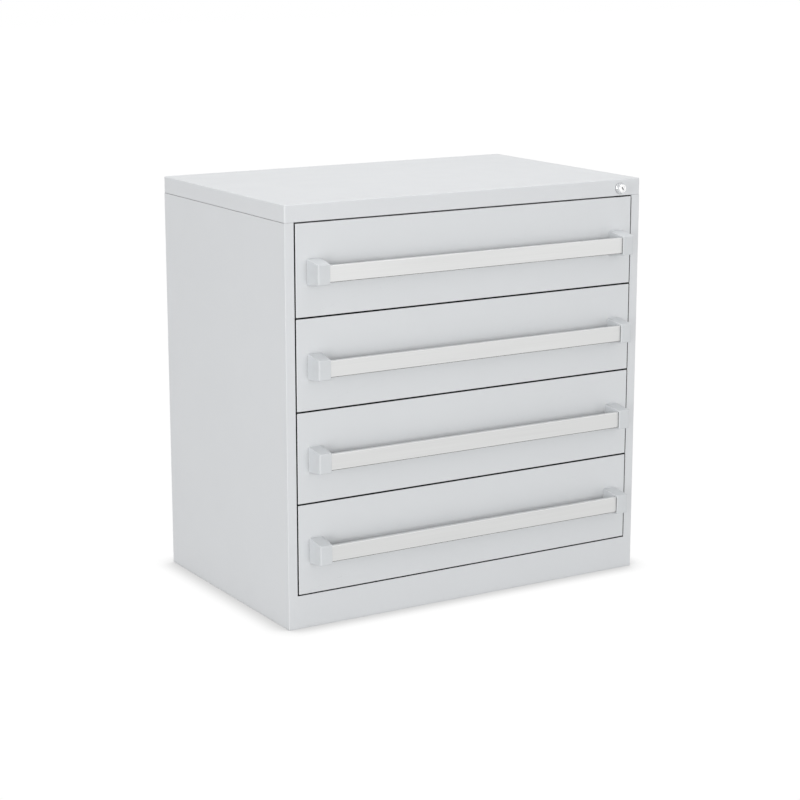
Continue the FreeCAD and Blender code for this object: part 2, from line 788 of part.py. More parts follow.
def make_handle_screws(drawer, level):
    x, heights = handle_screw_places()
    pieces = []
    for height in heights:
        shank = rod(f"{drawer}_shank", "y", "dims.handle_screw_radius",
                    (x, f"{front_face} - dims.handle_screw_depth", height),
                    "dims.handle_screw_depth + dims.front_sheet")
        head = rod(f"{drawer}_head", "y", "dims.handle_head_radius",
                   (x, f"{front_face} + dims.front_sheet", height), "dims.handle_head_thickness")
        pieces.append(join(f"{drawer}_screw", [shank, head]))
    node(pair(f"{drawer}_screws", pieces), f"{drawer}_handle_screws", level)


def make_lock_catch(drawer, level):
    """An angle on the tray's right side that the lock bar's tongue stands in front of."""
    front = f"({bar_back} + dims.catch_gap)"
    height = ("dims.catch_level", "dims.catch_level + dims.catch_height")
    thickness = "dims.catch_thickness"
    stop = box(f"{drawer}_stop", (tray_half, f"{tray_half} + dims.catch_reach"),
               (front, f"{front} + {thickness}"), height)
    foot = box(f"{drawer}_foot", (tray_half, f"{tray_half} + {thickness}"),
               (front, f"{front} + dims.catch_foot"), height)
    node(join(f"{drawer}_catch", [stop, foot]), f"{drawer}_lock_catch", level)


# ---- lock ----

def make_lock_barrel():
    """A bezel against the cap's rim, a tapered nose in front and a round body behind."""
    nose = stand("Part::Cone", "nose", "y", (lock_x, "-dims.nose_length", lock_z))
    bind(nose, Radius1="dims.nose_tip_radius", Radius2="dims.nose_radius",
         Height="dims.nose_length - dims.bezel_thickness")
    bezel = rod("bezel", "y", "dims.bezel_radius", (lock_x, "-dims.bezel_thickness", lock_z),
                "dims.bezel_thickness")
    shell = rod("barrel_body", "y", "dims.barrel_radius", (lock_x, "0", lock_z),
                "dims.barrel_length")
    hole = rod("plug_bore", "y", "dims.plug_radius + dims.axle_clearance",
               (lock_x, "-dims.nose_length", lock_z), "dims.nose_length + dims.barrel_length")
    node(cut("barrel", join("barrel_solid", [nose, bezel, shell]), [hole]), "lock_barrel")


def make_lock_nut():
    nut = prism("lock_hex", "y", 6, "dims.lock_nut_radius", (lock_x, "dims.cap_sheet", lock_z),
                "dims.nut_thickness")
    hole = rod("lock_hex_bore", "y", "dims.barrel_radius + dims.axle_clearance",
               (lock_x, "dims.cap_sheet", lock_z), "dims.nut_thickness")
    node(cut("lock_ring", nut, [hole]), "lock_nut")


def make_lock_plug():
    """The turning plug, with a stepped keyway in front and a square drive behind."""
    front = "(dims.plug_recess - dims.nose_length)"
    plug = rod("plug_body", "y", "dims.plug_radius", (lock_x, front, lock_z),
               f"dims.barrel_length - {front}")
    half_drive = "dims.drive_side / 2"
    drive = box("plug_drive", (f"{lock_x} - {half_drive}", f"{lock_x} + {half_drive}"),
                ("dims.barrel_length", cam_back),
                (f"{lock_z} - {half_drive}", f"{lock_z} + {half_drive}"))
    stub = rod("plug_stub", "y", "dims.cam_stub_radius", (lock_x, cam_back, lock_z),
               "dims.cam_nut_thickness")
    keyways = []
    for n, shift in enumerate(("-dims.keyway_step / 2", "dims.keyway_step / 2")):
        low = f"({lock_x} + {shift} - dims.keyway_width / 2)"
        foot = f"({lock_z} - {n} * dims.keyway_height)"
        keyways.append(box(f"keyway_{n}", (low, f"{low} + dims.keyway_width"),
                           (front, f"{front} + dims.keyway_depth"),
                           (foot, f"{foot} + dims.keyway_height")))
    node(cut("plug", join("plug_solid", [plug, drive, stub]), keyways), "lock_plug")


def make_lock_cam():
    """A lever on the plug's drive whose pin works the lock bar, with the nut that holds it."""
    origin = ("0", cam_front, "0")
    hub = rod("cam_hub", "y", "dims.cam_hub_radius", origin, "dims.cam_thickness")
    tip = rod("cam_tip", "y", "dims.cam_tip_radius", ("dims.pin_circle", cam_front, "0"),
              "dims.cam_thickness")
    arm = box("cam_arm", ("0", "dims.pin_circle"), (cam_front, cam_back),
              ("-dims.cam_tip_radius", "dims.cam_tip_radius"))
    pin = rod("cam_pin", "y", "dims.pin_radius", ("dims.pin_circle", cam_front, "0"),
              f"{bar_back} - {cam_front}")
    square = prism("cam_square", "y", 4, "dims.drive_side / sqrt(2)", origin,
                   "dims.cam_thickness")
    lever = cut("cam_lever", join("cam_solid", [hub, tip, arm, pin]), [square])
    nut = prism("cam_hex", "y", 6, "dims.cam_nut_radius", ("0", cam_back, "0"),
                "dims.cam_nut_thickness")
    hole = rod("cam_hex_bore", "y", "dims.cam_stub_radius + dims.axle_clearance",
               ("0", cam_back, "0"), "dims.cam_nut_thickness")
    cam = group("cam", [lever, cut("cam_nut", nut, [hole])])
    cam.Placement = FreeCAD.Placement(
        FreeCAD.Vector(), FreeCAD.Rotation(FreeCAD.Vector(0, 1, 0), -number("dims.cam_rest_angle")))
    node(cam, "lock_cam", level=lock_z, x=lock_x)


def make_lock_bar():
    """An upright strip with a slotted arm to the cam and a tongue for each drawer."""
    thick = (bar_front, bar_back)
    arm_top = f"({pin_z} + dims.arm_half_height)"
    arm_foot = f"({pin_z} - dims.arm_half_height)"
    strip = box("bar_strip", (bar_inner, bar_outer), thick,
                (f"{levels[0]} + dims.tongue_level", arm_top))
    arm = box("bar_arm", (f"{slot_low} - dims.slot_wall", bar_inner), thick, (arm_foot, arm_top))
    half_slot = "(dims.pin_radius + dims.slot_clearance)"
    slot = box("bar_slot", (slot_low, slot_high), thick,
               (f"{pin_z} - {half_slot}", f"{pin_z} + {half_slot}"))
    tongues = [
        box(f"tongue_{n}", (f"{tray_half} + dims.tongue_clearance", bar_inner), thick,
            (f"{level} + dims.tongue_level", f"{level} + dims.tongue_level + dims.tongue_height"))
        for n, level in enumerate(levels, start=1)]
    node(group("bolt", [strip, cut("bar_slotted", arm, [slot])] + tongues), "lock_bar")


def make_lock_bar_guides():
    """Nylon blocks on the right side panel that the lock bar slides through."""
    pieces = []
    slack = "dims.guide_clearance"
    for n, level in enumerate(levels[1:], start=2):
        height = (f"{level} + dims.guide_level", f"{level} + dims.guide_level + dims.guide_height")
        block = box(f"guide_block_{n}",
                    (f"{bar_inner} - {slack} - dims.guide_lip", f"{half_case} - dims.case_sheet"),
                    (f"{bar_front} - {slack} - dims.guide_wall",
                     f"{bar_back} + {slack} + dims.guide_lip"), height)
        slot = box(f"guide_slot_{n}", (f"{bar_inner} - {slack}", f"{bar_outer} + {slack}"),
                   (f"{bar_front} - {slack}", f"{bar_back} + {slack}"), height)
        pieces.append(cut(f"guide_{n}", block, [slot]))
    node(group("guides", pieces), "lock_bar_guides")


# ---- levelling feet ----

foot_x = derive("foot_x", "places.rail_plane - dims.foot_inset")
pan_underside = derive("pan_underside", "dims.plinth_height - 2 * dims.case_sheet")
flange_foot = derive("flange_foot", "dims.plinth_height - dims.case_sheet - dims.base_flange")
stem_top = derive("stem_top", "places.pan_underside - dims.foot_stem_clearance")
bracket_level = derive(
    "bracket_level",
    "places.flange_foot - dims.bracket_clearance - dims.bracket_leg - dims.bracket_thickness")
foot_rows = {
    "front": derive("foot_front", "dims.upright_setback + dims.foot_setback"),
    "rear": derive("foot_rear", "places.back_face - dims.foot_setback"),
}


def make_foot(label, x, y):
    """A nylon pad with a bevelled rim on a round stem."""
    body = new_body(label)
    outline = [
        ("0", "0"), ("dims.foot_pad_radius - dims.foot_pad_bevel", "0"),
        ("dims.foot_pad_radius", "dims.foot_pad_bevel"),
        ("dims.foot_pad_radius", "dims.foot_pad_height"),
        ("dims.foot_stem_radius", "dims.foot_pad_height"),
        ("dims.foot_stem_radius", stem_top), ("0", stem_top)]
    revolve(body, outline)
    node(body, label, x=x, y=f"{node_y} + {y}")


def make_bracket(name, foot_y):
    """A right-hand angle plate under the base pan, with a weld nut for the foot's stem."""
    top = f"({bracket_level} + dims.bracket_thickness)"
    x_range = (f"{rail_plane} - dims.bracket_width", rail_plane)
    y_range = (f"{foot_y} - dims.bracket_width / 2", f"{foot_y} + dims.bracket_width / 2")
    plate = box(f"{name}_plate", x_range, y_range, (bracket_level, top))
    leg = box(f"{name}_leg", (f"{rail_plane} - dims.bracket_thickness", rail_plane), y_range,
              (top, f"{top} + dims.bracket_leg"))
    nut = prism(f"{name}_hex", "z", 6, "dims.foot_nut_radius", (foot_x, foot_y, top),
                "dims.foot_nut_thickness")
    stem_radius = "dims.foot_stem_radius + dims.foot_clearance"
    plate_hole = rod(f"{name}_plate_hole", "z", stem_radius,
                     (foot_x, foot_y, bracket_level), "dims.bracket_thickness")
    nut_hole = rod(f"{name}_nut_hole", "z", stem_radius, (foot_x, foot_y, top),
                   "dims.foot_nut_thickness")
    angle = cut(f"{name}_angle", join(f"{name}_solid", [plate, leg]), [plate_hole])
    return [angle, cut(f"{name}_nut", nut, [nut_hole])]


def make_feet():
    pieces = []
    for row_name, foot_y in foot_rows.items():
        pieces += make_bracket(f"{row_name}_bracket", foot_y)
        for side_name, side in (("left", "-"), ("right", "")):
            make_foot(f"levelling_foot_{row_name}_{side_name}", f"{side}{foot_x}", foot_y)
    node(pair("brackets", pieces), "foot_brackets")


# ---- the whole cabinet ----

make_top_cap()
make_side_panel("left_side_panel", -1)
make_side_panel("right_side_panel", 1)
make_back_panel()
make_base_pan()
make_plinth_front()
make_inner_frame()
make_case_rails()
make_case_rail_screws()
make_lock_barrel()
make_lock_nut()
make_lock_plug()
make_lock_cam()
make_lock_bar()
make_lock_bar_guides()
make_feet()
for index, drawer_level in enumerate(levels, start=1):
    drawer_name = f"drawer_{index}"
    for make in (make_front, make_tray, make_row_dividers, make_tray_rails, make_rollers,
                 make_handle_ends, make_handle_bar, make_handle_screws, make_lock_catch):
        make(drawer_name, drawer_level)

doc.recompute()

faults = [item.Name for item in doc.Objects if {"Invalid", "Error"} & set(item.State)]
faults += [item.Label for item in nodes if item.Shape.isNull() or not item.Shape.isValid()]
if faults:
    raise RuntimeError(f"these objects failed: {faults}")

os.makedirs("parts", exist_ok=True)
for item in nodes:
    item.Shape.exportStep(f"parts/{item.Label}.step")
print(f"{len(nodes)} nodes, {sum(len(item.Shape.Solids) for item in nodes)} solids")
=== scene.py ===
"""Microscope slide cabinet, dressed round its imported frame.

Everything is in metres, in the row's frame: x to the right, y to the back, z up from the floor.
Each function makes one kind of piece, at its place, from the box of the CAD node it stands for.
"""
import json
import math
from contextlib import contextmanager

import bmesh
import bpy
from mathutils import Matrix, Vector


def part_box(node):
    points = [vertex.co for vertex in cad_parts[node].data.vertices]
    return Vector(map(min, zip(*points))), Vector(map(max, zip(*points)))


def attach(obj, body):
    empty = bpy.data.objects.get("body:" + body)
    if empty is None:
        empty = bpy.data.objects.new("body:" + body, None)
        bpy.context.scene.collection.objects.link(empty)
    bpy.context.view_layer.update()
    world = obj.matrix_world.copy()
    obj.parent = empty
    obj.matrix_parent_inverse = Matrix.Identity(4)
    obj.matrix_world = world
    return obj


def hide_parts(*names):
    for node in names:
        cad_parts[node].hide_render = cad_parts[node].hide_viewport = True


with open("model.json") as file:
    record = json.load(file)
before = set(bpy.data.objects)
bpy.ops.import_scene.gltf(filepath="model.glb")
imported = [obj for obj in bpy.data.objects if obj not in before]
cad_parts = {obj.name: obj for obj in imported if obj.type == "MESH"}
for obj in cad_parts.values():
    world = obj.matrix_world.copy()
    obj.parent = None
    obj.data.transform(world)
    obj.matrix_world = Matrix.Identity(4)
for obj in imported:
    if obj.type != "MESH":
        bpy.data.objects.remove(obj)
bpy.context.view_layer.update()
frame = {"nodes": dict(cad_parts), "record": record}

MM = 0.001
NEAR = 0.02 * MM
X, Y, Z = Vector((1, 0, 0)), Vector((0, 1, 0)), Vector((0, 0, 1))
DRAWERS = ("drawer_1", "drawer_2", "drawer_3", "drawer_4")
BLOCK_WIDTH = 24 * MM
TRAY_HALF_WIDTH = 348.7 * MM
LOCK_SIDES = 96


# ---- camera, light and stage ----

def place_camera():
    """A long lens in front of the left corner, looking a little down and to the right."""
    looks_down, turned_right = 12.9, 31.1
    data = bpy.data.cameras.new("camera")
    data.lens = 94.8
    data.clip_start, data.clip_end = 0.05, 60
    camera = bpy.data.objects.new("camera", data)
    camera.location = (-2.064, -3.396, 1.246)
    camera.rotation_euler = (math.radians(90 - looks_down), 0, math.radians(-turned_right))
    bpy.context.collection.objects.link(camera)
    bpy.context.scene.camera = camera


def area_lamp(name, place, aim, size, power):
    data = bpy.data.lights.new(name, "AREA")
    data.shape = "DISK"
    data.size = size
    data.energy = power
    lamp = bpy.data.objects.new(name, data)
    lamp.location = place
    lamp.rotation_euler = (Vector(aim) - Vector(place)).to_track_quat("-Z", "Y").to_euler()
    bpy.context.collection.objects.link(lamp)


def seen_directly(nodes, links):
    """1 where a ray comes from the camera, a mirror or through glass, and 0 for light."""
    path = nodes.new("ShaderNodeLightPath")
    mirror = nodes.new("ShaderNodeMath")
    mirror.operation = "MAXIMUM"
    links.new(path.outputs["Is Glossy Ray"], mirror.inputs[0])
    links.new(path.outputs["Is Transmission Ray"], mirror.inputs[1])
    seen = nodes.new("ShaderNodeMath")
    seen.operation = "MAXIMUM"
    links.new(path.outputs["Is Camera Ray"], seen.inputs[0])
    links.new(mirror.outputs[0], seen.inputs[1])
    return seen.outputs[0]


def light_world(level):
    world = bpy.data.worlds.new("studio")
    world.use_nodes = True
    nodes, links = world.node_tree.nodes, world.node_tree.links
    sky = nodes["Background"]
    strength = nodes.new("ShaderNodeMapRange")
    strength.inputs["To Min"].default_value = level
    strength.inputs["To Max"].default_value = 1.0
    links.new(seen_directly(nodes, links), strength.inputs["Value"])
    links.new(strength.outputs[0], sky.inputs["Strength"])
    sky.inputs["Color"].default_value = (1, 1, 1, 1)
    bpy.context.scene.world = world


def lay_floor():
    """A white floor with the object's shadow painted into its glow, close under it and softly
    further out.
    """
    bpy.ops.mesh.primitive_plane_add(size=40, location=(0, 0, 0))
    floor = bpy.context.object
    floor.name = "floor"
    material = bpy.data.materials.new("floor_white")
    material.use_nodes = True
    nodes, links = material.node_tree.nodes, material.node_tree.links
    nodes.clear()
    matte = nodes.new("ShaderNodeBsdfDiffuse")
    matte.inputs["Color"].default_value = (0.56, 0.56, 0.56, 1)
    contact = nodes.new("ShaderNodeAmbientOcclusion")
    contact.samples = 12
    contact.inputs["Distance"].default_value = 0.048
    tone = nodes.new("ShaderNodeMapRange")
    tone.inputs["From Min"].default_value = 0.50
    tone.inputs["From Max"].default_value = 0.96
    tone.inputs["To Min"].default_value = 0.64
    tone.inputs["To Max"].default_value = 1.01
    glow = nodes.new("ShaderNodeEmission")
    links.new(contact.outputs["AO"], tone.inputs["Value"])
    links.new(tone.outputs[0], glow.inputs["Strength"])
    mix = nodes.new("ShaderNodeMixShader")
    links.new(seen_directly(nodes, links), mix.inputs["Fac"])
    links.new(matte.outputs[0], mix.inputs[1])
    links.new(glow.outputs[0], mix.inputs[2])
    surface = nodes.new("ShaderNodeOutputMaterial")
    links.new(mix.outputs[0], surface.inputs["Surface"])
    floor.data.materials.append(material)


# ---- finishes ----

def new_group(name, inputs, outputs):
    """An empty node group with named sockets: (name, kind, default) in and (name, kind) out."""
    tree = bpy.data.node_groups.new(name, "ShaderNodeTree")
    for label, kind, default in inputs:
        socket = tree.interface.new_socket(label, in_out="INPUT", socket_type=f"NodeSocket{kind}")
        socket.default_value = default
    for label, kind in outputs:
        tree.interface.new_socket(label, in_out="OUTPUT", socket_type=f"NodeSocket{kind}")
    tree.nodes.new("NodeGroupInput")
    tree.nodes.new("NodeGroupOutput")
    return tree


def ends(tree):
    return tree.nodes["Group Input"].outputs, tree.nodes["Group Output"].inputs


def noise(tree, scale, detail, vector=None):
    """A noise pattern on the piece's own coordinates; scale is a number or a socket."""
    pattern = tree.nodes.new("ShaderNodeTexNoise")
    pattern.inputs["Detail"].default_value = detail
    if isinstance(scale, (int, float)):
        pattern.inputs["Scale"].default_value = scale
    else:
        tree.links.new(scale, pattern.inputs["Scale"])
    if vector is None:
        vector = tree.nodes.new("ShaderNodeTexCoord").outputs["Object"]
    tree.links.new(vector, pattern.inputs["Vector"])
    return pattern.outputs["Fac"]


def remap(tree, value, low, high, from_low=0.3, from_high=0.7):
    """Turn a pattern's middle range into low to high; low and high are numbers or sockets."""
    node = tree.nodes.new("ShaderNodeMapRange")
    node.inputs["From Min"].default_value = from_low
    node.inputs["From Max"].default_value = from_high
    for name, limit in (("To Min", low), ("To Max", high)):
        if isinstance(limit, (int, float)):
            node.inputs[name].default_value = limit
        else:
            tree.links.new(limit, node.inputs[name])
    tree.links.new(value, node.inputs["Value"])
    return node.outputs["Result"]


def arithmetic(tree, operation, first, second):
    node = tree.nodes.new("ShaderNodeMath")
    node.operation = operation
    for index, value in enumerate((first, second)):
        if isinstance(value, (int, float)):
            node.inputs[index].default_value = value
        else:
            tree.links.new(value, node.inputs[index])
    return node.outputs[0]


def shade(tree, colour, factor):
    """A colour socket made lighter or darker by a factor that changes over the surface."""
    mix = tree.nodes.new("ShaderNodeVectorMath")
    mix.operation = "SCALE"
    tree.links.new(colour, mix.inputs[0])
    tree.links.new(factor, mix.inputs["Scale"])
    return mix.outputs["Vector"]


def make_open_group(name, distance, low, high, darkest):
    """1 on open surfaces, falling to its darkest where other surfaces stand within a distance; an
    occlusion factor that paints shade into colours.
    """
    tree = new_group(name, [("From", "Float", low), ("To", "Float", high),
                            ("Darkest", "Float", darkest)], [("Open", "Float")])
    given, made = ends(tree)
    depth = tree.nodes.new("ShaderNodeAmbientOcclusion")
    depth.samples = 8
    depth.inputs["Distance"].default_value = distance
    node = tree.nodes.new("ShaderNodeMapRange")
    tree.links.new(depth.outputs["AO"], node.inputs["Value"])
    tree.links.new(given["From"], node.inputs["From Min"])
    tree.links.new(given["To"], node.inputs["From Max"])
    tree.links.new(given["Darkest"], node.inputs["To Min"])
    tree.links.new(node.outputs["Result"], made["Open"])
    return tree


def deepened(tree, gap, factor, rough):
    """A tone factor with painted shade that goes dark in gaps, a roughness that goes dull there,
    and how open.
    """
    open_part = tree.nodes.new("ShaderNodeGroup")
    open_part.node_tree = gap
    dull = tree.nodes.new("ShaderNodeMix")
    dull.inputs["A"].default_value = 1.0
    tree.links.new(open_part.outputs["Open"], dull.inputs["Factor"])
    tree.links.new(rough, dull.inputs["B"])
    tone = arithmetic(tree, "MULTIPLY", factor, open_part.outputs["Open"])
    return tone, dull.outputs["Result"], open_part.outputs["Open"]


def make_coat_group(gap):
    """Powder coat: large faint cloudiness, hand-worn gloss, a fine orange-peel height, and
    painted shade that darkens it in gaps.
    """
    tree = new_group(
        "powder_coat",
        [("Colour", "Color", (0.7, 0.7, 0.7, 1)), ("Cloudiness", "Float", 0.01),
         ("Gloss spread", "Float", 0.05), ("Roughness", "Float", 0.45),
         ("Peel scale", "Float", 700.0)],
        [("Colour", "Color"), ("Roughness", "Float"), ("Height", "Float"),
         ("Metallic", "Float")])
    given, made = ends(tree)
    clouds = noise(tree, 5.0, 3.0)
    low = arithmetic(tree, "SUBTRACT", 1.0, given["Cloudiness"])
    high = arithmetic(tree, "ADD", 1.0, given["Cloudiness"])
    wear = noise(tree, 23.0, 6.0)
    smooth = arithmetic(tree, "SUBTRACT", given["Roughness"], given["Gloss spread"])
    rough = arithmetic(tree, "ADD", given["Roughness"], given["Gloss spread"])
    tone, dull, opened = deepened(tree, gap, remap(tree, clouds, low, high),
                                  remap(tree, wear, smooth, rough))
    # Painted shade: the coat turns metallic in gaps, so its darkened colour there reflects almost
    # nothing.
    tree.links.new(arithmetic(tree, "SUBTRACT", 1.0, opened), made["Metallic"])
    tree.links.new(shade(tree, given["Colour"], tone), made["Colour"])
    tree.links.new(dull, made["Roughness"])
    peel = noise(tree, given["Peel scale"], 2.0)
    tree.links.new(peel, made["Height"])
    return tree


def make_grain_group(gap):
    """Fine drawn lines along x with a little tone and gloss change, as on extruded metal, and
    painted shade in gaps.
    """
    tree = new_group(
        "drawn_lines",
        [("Colour", "Color", (0.8, 0.8, 0.8, 1)), ("Tone spread", "Float", 0.02),
         ("Roughness", "Float", 0.3), ("Gloss spread", "Float", 0.05),
         ("Stretch", "Vector", (4.0, 1400.0, 1400.0))],
        [("Colour", "Color"), ("Roughness", "Float"), ("Height", "Float")])
    given, made = ends(tree)
    place = tree.nodes.new("ShaderNodeTexCoord").outputs["Object"]
    drawn = tree.nodes.new("ShaderNodeVectorMath")
    drawn.operation = "MULTIPLY"
    tree.links.new(place, drawn.inputs[0])
    tree.links.new(given["Stretch"], drawn.inputs[1])
    lines = noise(tree, 1.0, 3.0, drawn.outputs["Vector"])
    low = arithmetic(tree, "SUBTRACT", 1.0, given["Tone spread"])
    high = arithmetic(tree, "ADD", 1.0, given["Tone spread"])
    smooth = arithmetic(tree, "SUBTRACT", given["Roughness"], given["Gloss spread"])
    rough = arithmetic(tree, "ADD", given["Roughness"], given["Gloss spread"])
    tone, dull, _ = deepened(tree, gap, remap(tree, lines, low, high),
                             remap(tree, lines, smooth, rough))
    tree.links.new(shade(tree, given["Colour"], tone), made["Colour"])
    tree.links.new(dull, made["Roughness"])
    tree.links.new(lines, made["Height"])
    return tree


def make_spangle_group():
    """Zinc plating: small crystals that differ a little in tone and gloss."""
    tree = new_group(
        "zinc_spangle",
        [("Colour", "Color", (0.6, 0.6, 0.6, 1)), ("Crystal scale", "Float", 160.0),
         ("Tone spread", "Float", 0.06), ("Roughness", "Float", 0.32)],
        [("Colour", "Color"), ("Roughness", "Float"), ("Height", "Float")])
    given, made = ends(tree)
    crystals = tree.nodes.new("ShaderNodeTexVoronoi")
    tree.links.new(tree.nodes.new("ShaderNodeTexCoord").outputs["Object"],
                   crystals.inputs["Vector"])
    tree.links.new(given["Crystal scale"], crystals.inputs["Scale"])
    tone = tree.nodes.new("ShaderNodeSeparateColor")
    tree.links.new(crystals.outputs["Color"], tone.inputs["Color"])
    low = arithmetic(tree, "SUBTRACT", 1.0, given["Tone spread"])
    high = arithmetic(tree, "ADD", 1.0, given["Tone spread"])
    value = remap(tree, tone.outputs["Red"], low, high, 0.0, 1.0)
    tree.links.new(shade(tree, given["Colour"], value), made["Colour"])
    smooth = arithmetic(tree, "SUBTRACT", given["Roughness"], 0.06)
    rough = arithmetic(tree, "ADD", given["Roughness"], 0.10)
    tree.links.new(remap(tree, tone.outputs["Green"], smooth, rough, 0.0, 1.0),
                   made["Roughness"])
    tree.links.new(noise(tree, 420.0, 4.0), made["Height"])
    return tree


def make_moulded_group():
    """Moulded plastic: a fine spark-eroded grain and a faint change of tone."""
    tree = new_group(
        "moulded_grain",
        [("Colour", "Color", (0.6, 0.6, 0.6, 1)), ("Tone spread", "Float", 0.02),
         ("Roughness", "Float", 0.5), ("Grain scale", "Float", 1500.0)],
        [("Colour", "Color"), ("Roughness", "Float"), ("Height", "Float")])
    given, made = ends(tree)
    clouds = noise(tree, 40.0, 3.0)
    low = arithmetic(tree, "SUBTRACT", 1.0, given["Tone spread"])
    high = arithmetic(tree, "ADD", 1.0, given["Tone spread"])
    tree.links.new(shade(tree, given["Colour"], remap(tree, clouds, low, high)), made["Colour"])
    grain = noise(tree, given["Grain scale"], 2.0)
    smooth = arithmetic(tree, "SUBTRACT", given["Roughness"], 0.04)
    rough = arithmetic(tree, "ADD", given["Roughness"], 0.06)
    tree.links.new(remap(tree, grain, smooth, rough), made["Roughness"])
    tree.links.new(grain, made["Height"])
    return tree


def finish(name, group, values, bump, bump_depth, **shader):
    """A material whose surface pattern comes from a group, and whose constants are its own."""
    material = bpy.data.materials.new(name)
    material.use_nodes = True
    nodes, links = material.node_tree.nodes, material.node_tree.links
    surface = nodes["Principled BSDF"]
    for socket, value in shader.items():
        surface.inputs[socket.replace("_", " ")].default_value = value
    pattern = nodes.new("ShaderNodeGroup")
    pattern.node_tree = group
    for socket, value in values.items():
        pattern.inputs[socket].default_value = value
    links.new(pattern.outputs["Colour"], surface.inputs["Base Color"])
    links.new(pattern.outputs["Roughness"], surface.inputs["Roughness"])
    if "Metallic" in pattern.outputs:
        links.new(pattern.outputs["Metallic"], surface.inputs["Metallic"])
    relief = nodes.new("ShaderNodeBump")
    relief.inputs["Strength"].default_value = bump
    relief.inputs["Distance"].default_value = bump_depth
    links.new(pattern.outputs["Height"], relief.inputs["Height"])
    links.new(relief.outputs["Normal"], surface.inputs["Normal"])
    return material


def multiply_colour(material, tone=(1, 1, 1, 1), factor=None):
    """Multiply a material's colour by a tone, as far as a factor says, and give the mix node."""
    nodes, links = material.node_tree.nodes, material.node_tree.links
    surface = nodes["Principled BSDF"]
    mix = nodes.new("ShaderNodeMix")
    mix.data_type = "RGBA"
    mix.blend_type = "MULTIPLY"
    mix.inputs["Factor"].default_value = 1.0
    mix.inputs["B"].default_value = tone
    links.new(surface.inputs["Base Color"].links[0].from_socket, mix.inputs["A"])
    if factor:
        links.new(factor, mix.inputs["Factor"])
    links.new(mix.outputs["Result"], surface.inputs["Base Color"])
    return mix


def shaded_by_handle(material, near, start, end, beside):
    """Paint shade into a colour softly behind the bar, and a little where an end block stands
    beside it.

    The shade behind the bar fades out between two distances from the block's inner face.
    """
    tree = material.node_tree
    place = tree.nodes.new("ShaderNodeSeparateXYZ")
    tree.links.new(tree.nodes.new("ShaderNodeTexCoord").outputs["Object"], place.inputs[0])
    aside = arithmetic(tree, "ABSOLUTE", place.outputs["X"], 0)
    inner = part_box("drawer_1_handle_ends")[1].x - BLOCK_WIDTH
    beside_block, behind_bar = (0.55, 0.74, beside), (0.71, 0.885, 0.86)
    blend = tree.nodes.new("ShaderNodeMix")
    tree.links.new(remap(tree, aside, 1.0, 0.0, inner + start, inner + end),
                   blend.inputs["Factor"])
    for socket, values in (("A", beside_block), ("B", behind_bar)):
        shading = tree.nodes.new("ShaderNodeGroup")
        shading.node_tree = near
        for name, value in zip(("From", "To", "Darkest"), values):
            shading.inputs[name].default_value = value
        tree.links.new(shading.outputs["Open"], blend.inputs[socket])
    mix = multiply_colour(material)
    tree.links.new(blend.outputs["Result"], mix.inputs["B"])
    return material


def painted_top_highlight(material, gain):
    """Lighten a metal's colour on the surfaces that turn upwards, as a painted highlight along
    its top edge.
    """
    tree = material.node_tree
    turn = tree.nodes.new("ShaderNodeSeparateXYZ")
    tree.links.new(tree.nodes.new("ShaderNodeNewGeometry").outputs["Normal"], turn.inputs[0])
    surface = tree.nodes["Principled BSDF"]
    colour = surface.inputs["Base Color"].links[0].from_socket
    lighter = shade(tree, colour, remap(tree, turn.outputs["Z"], 1.0, gain, 0.1, 0.5))
    tree.links.new(lighter, surface.inputs["Base Color"])
    return material


def lock_finish(lines):
    """Chrome that is bright on the nose and plug, with painted shade that darkens its colour on
    the ring behind them.
    """
    material = finish(
        "lock_chrome", lines,
        {"Colour": (0.95, 0.95, 0.95, 1), "Tone spread": 0.02, "Roughness": 0.17,
         "Gloss spread": 0.03, "Stretch": (900.0, 40.0, 900.0)}, 0.03, 0.01 * MM, Metallic=1.0)
    nodes, links = material.node_tree.nodes, material.node_tree.links
    ring_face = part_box("lock_barrel")[0].y + 7.1 * MM
    depth = nodes.new("ShaderNodeSeparateXYZ")
    links.new(nodes.new("ShaderNodeTexCoord").outputs["Object"], depth.inputs[0])
    behind = nodes.new("ShaderNodeMapRange")
    behind.inputs["From Min"].default_value = ring_face - 0.05 * MM
    behind.inputs["From Max"].default_value = ring_face + 0.05 * MM
    links.new(depth.outputs["Y"], behind.inputs["Value"])
    # Painted shade: the ring behind the nose has its chrome darkened in colour.
    multiply_colour(material, (0.62, 0.63, 0.65, 1), behind.outputs["Result"])
    return material


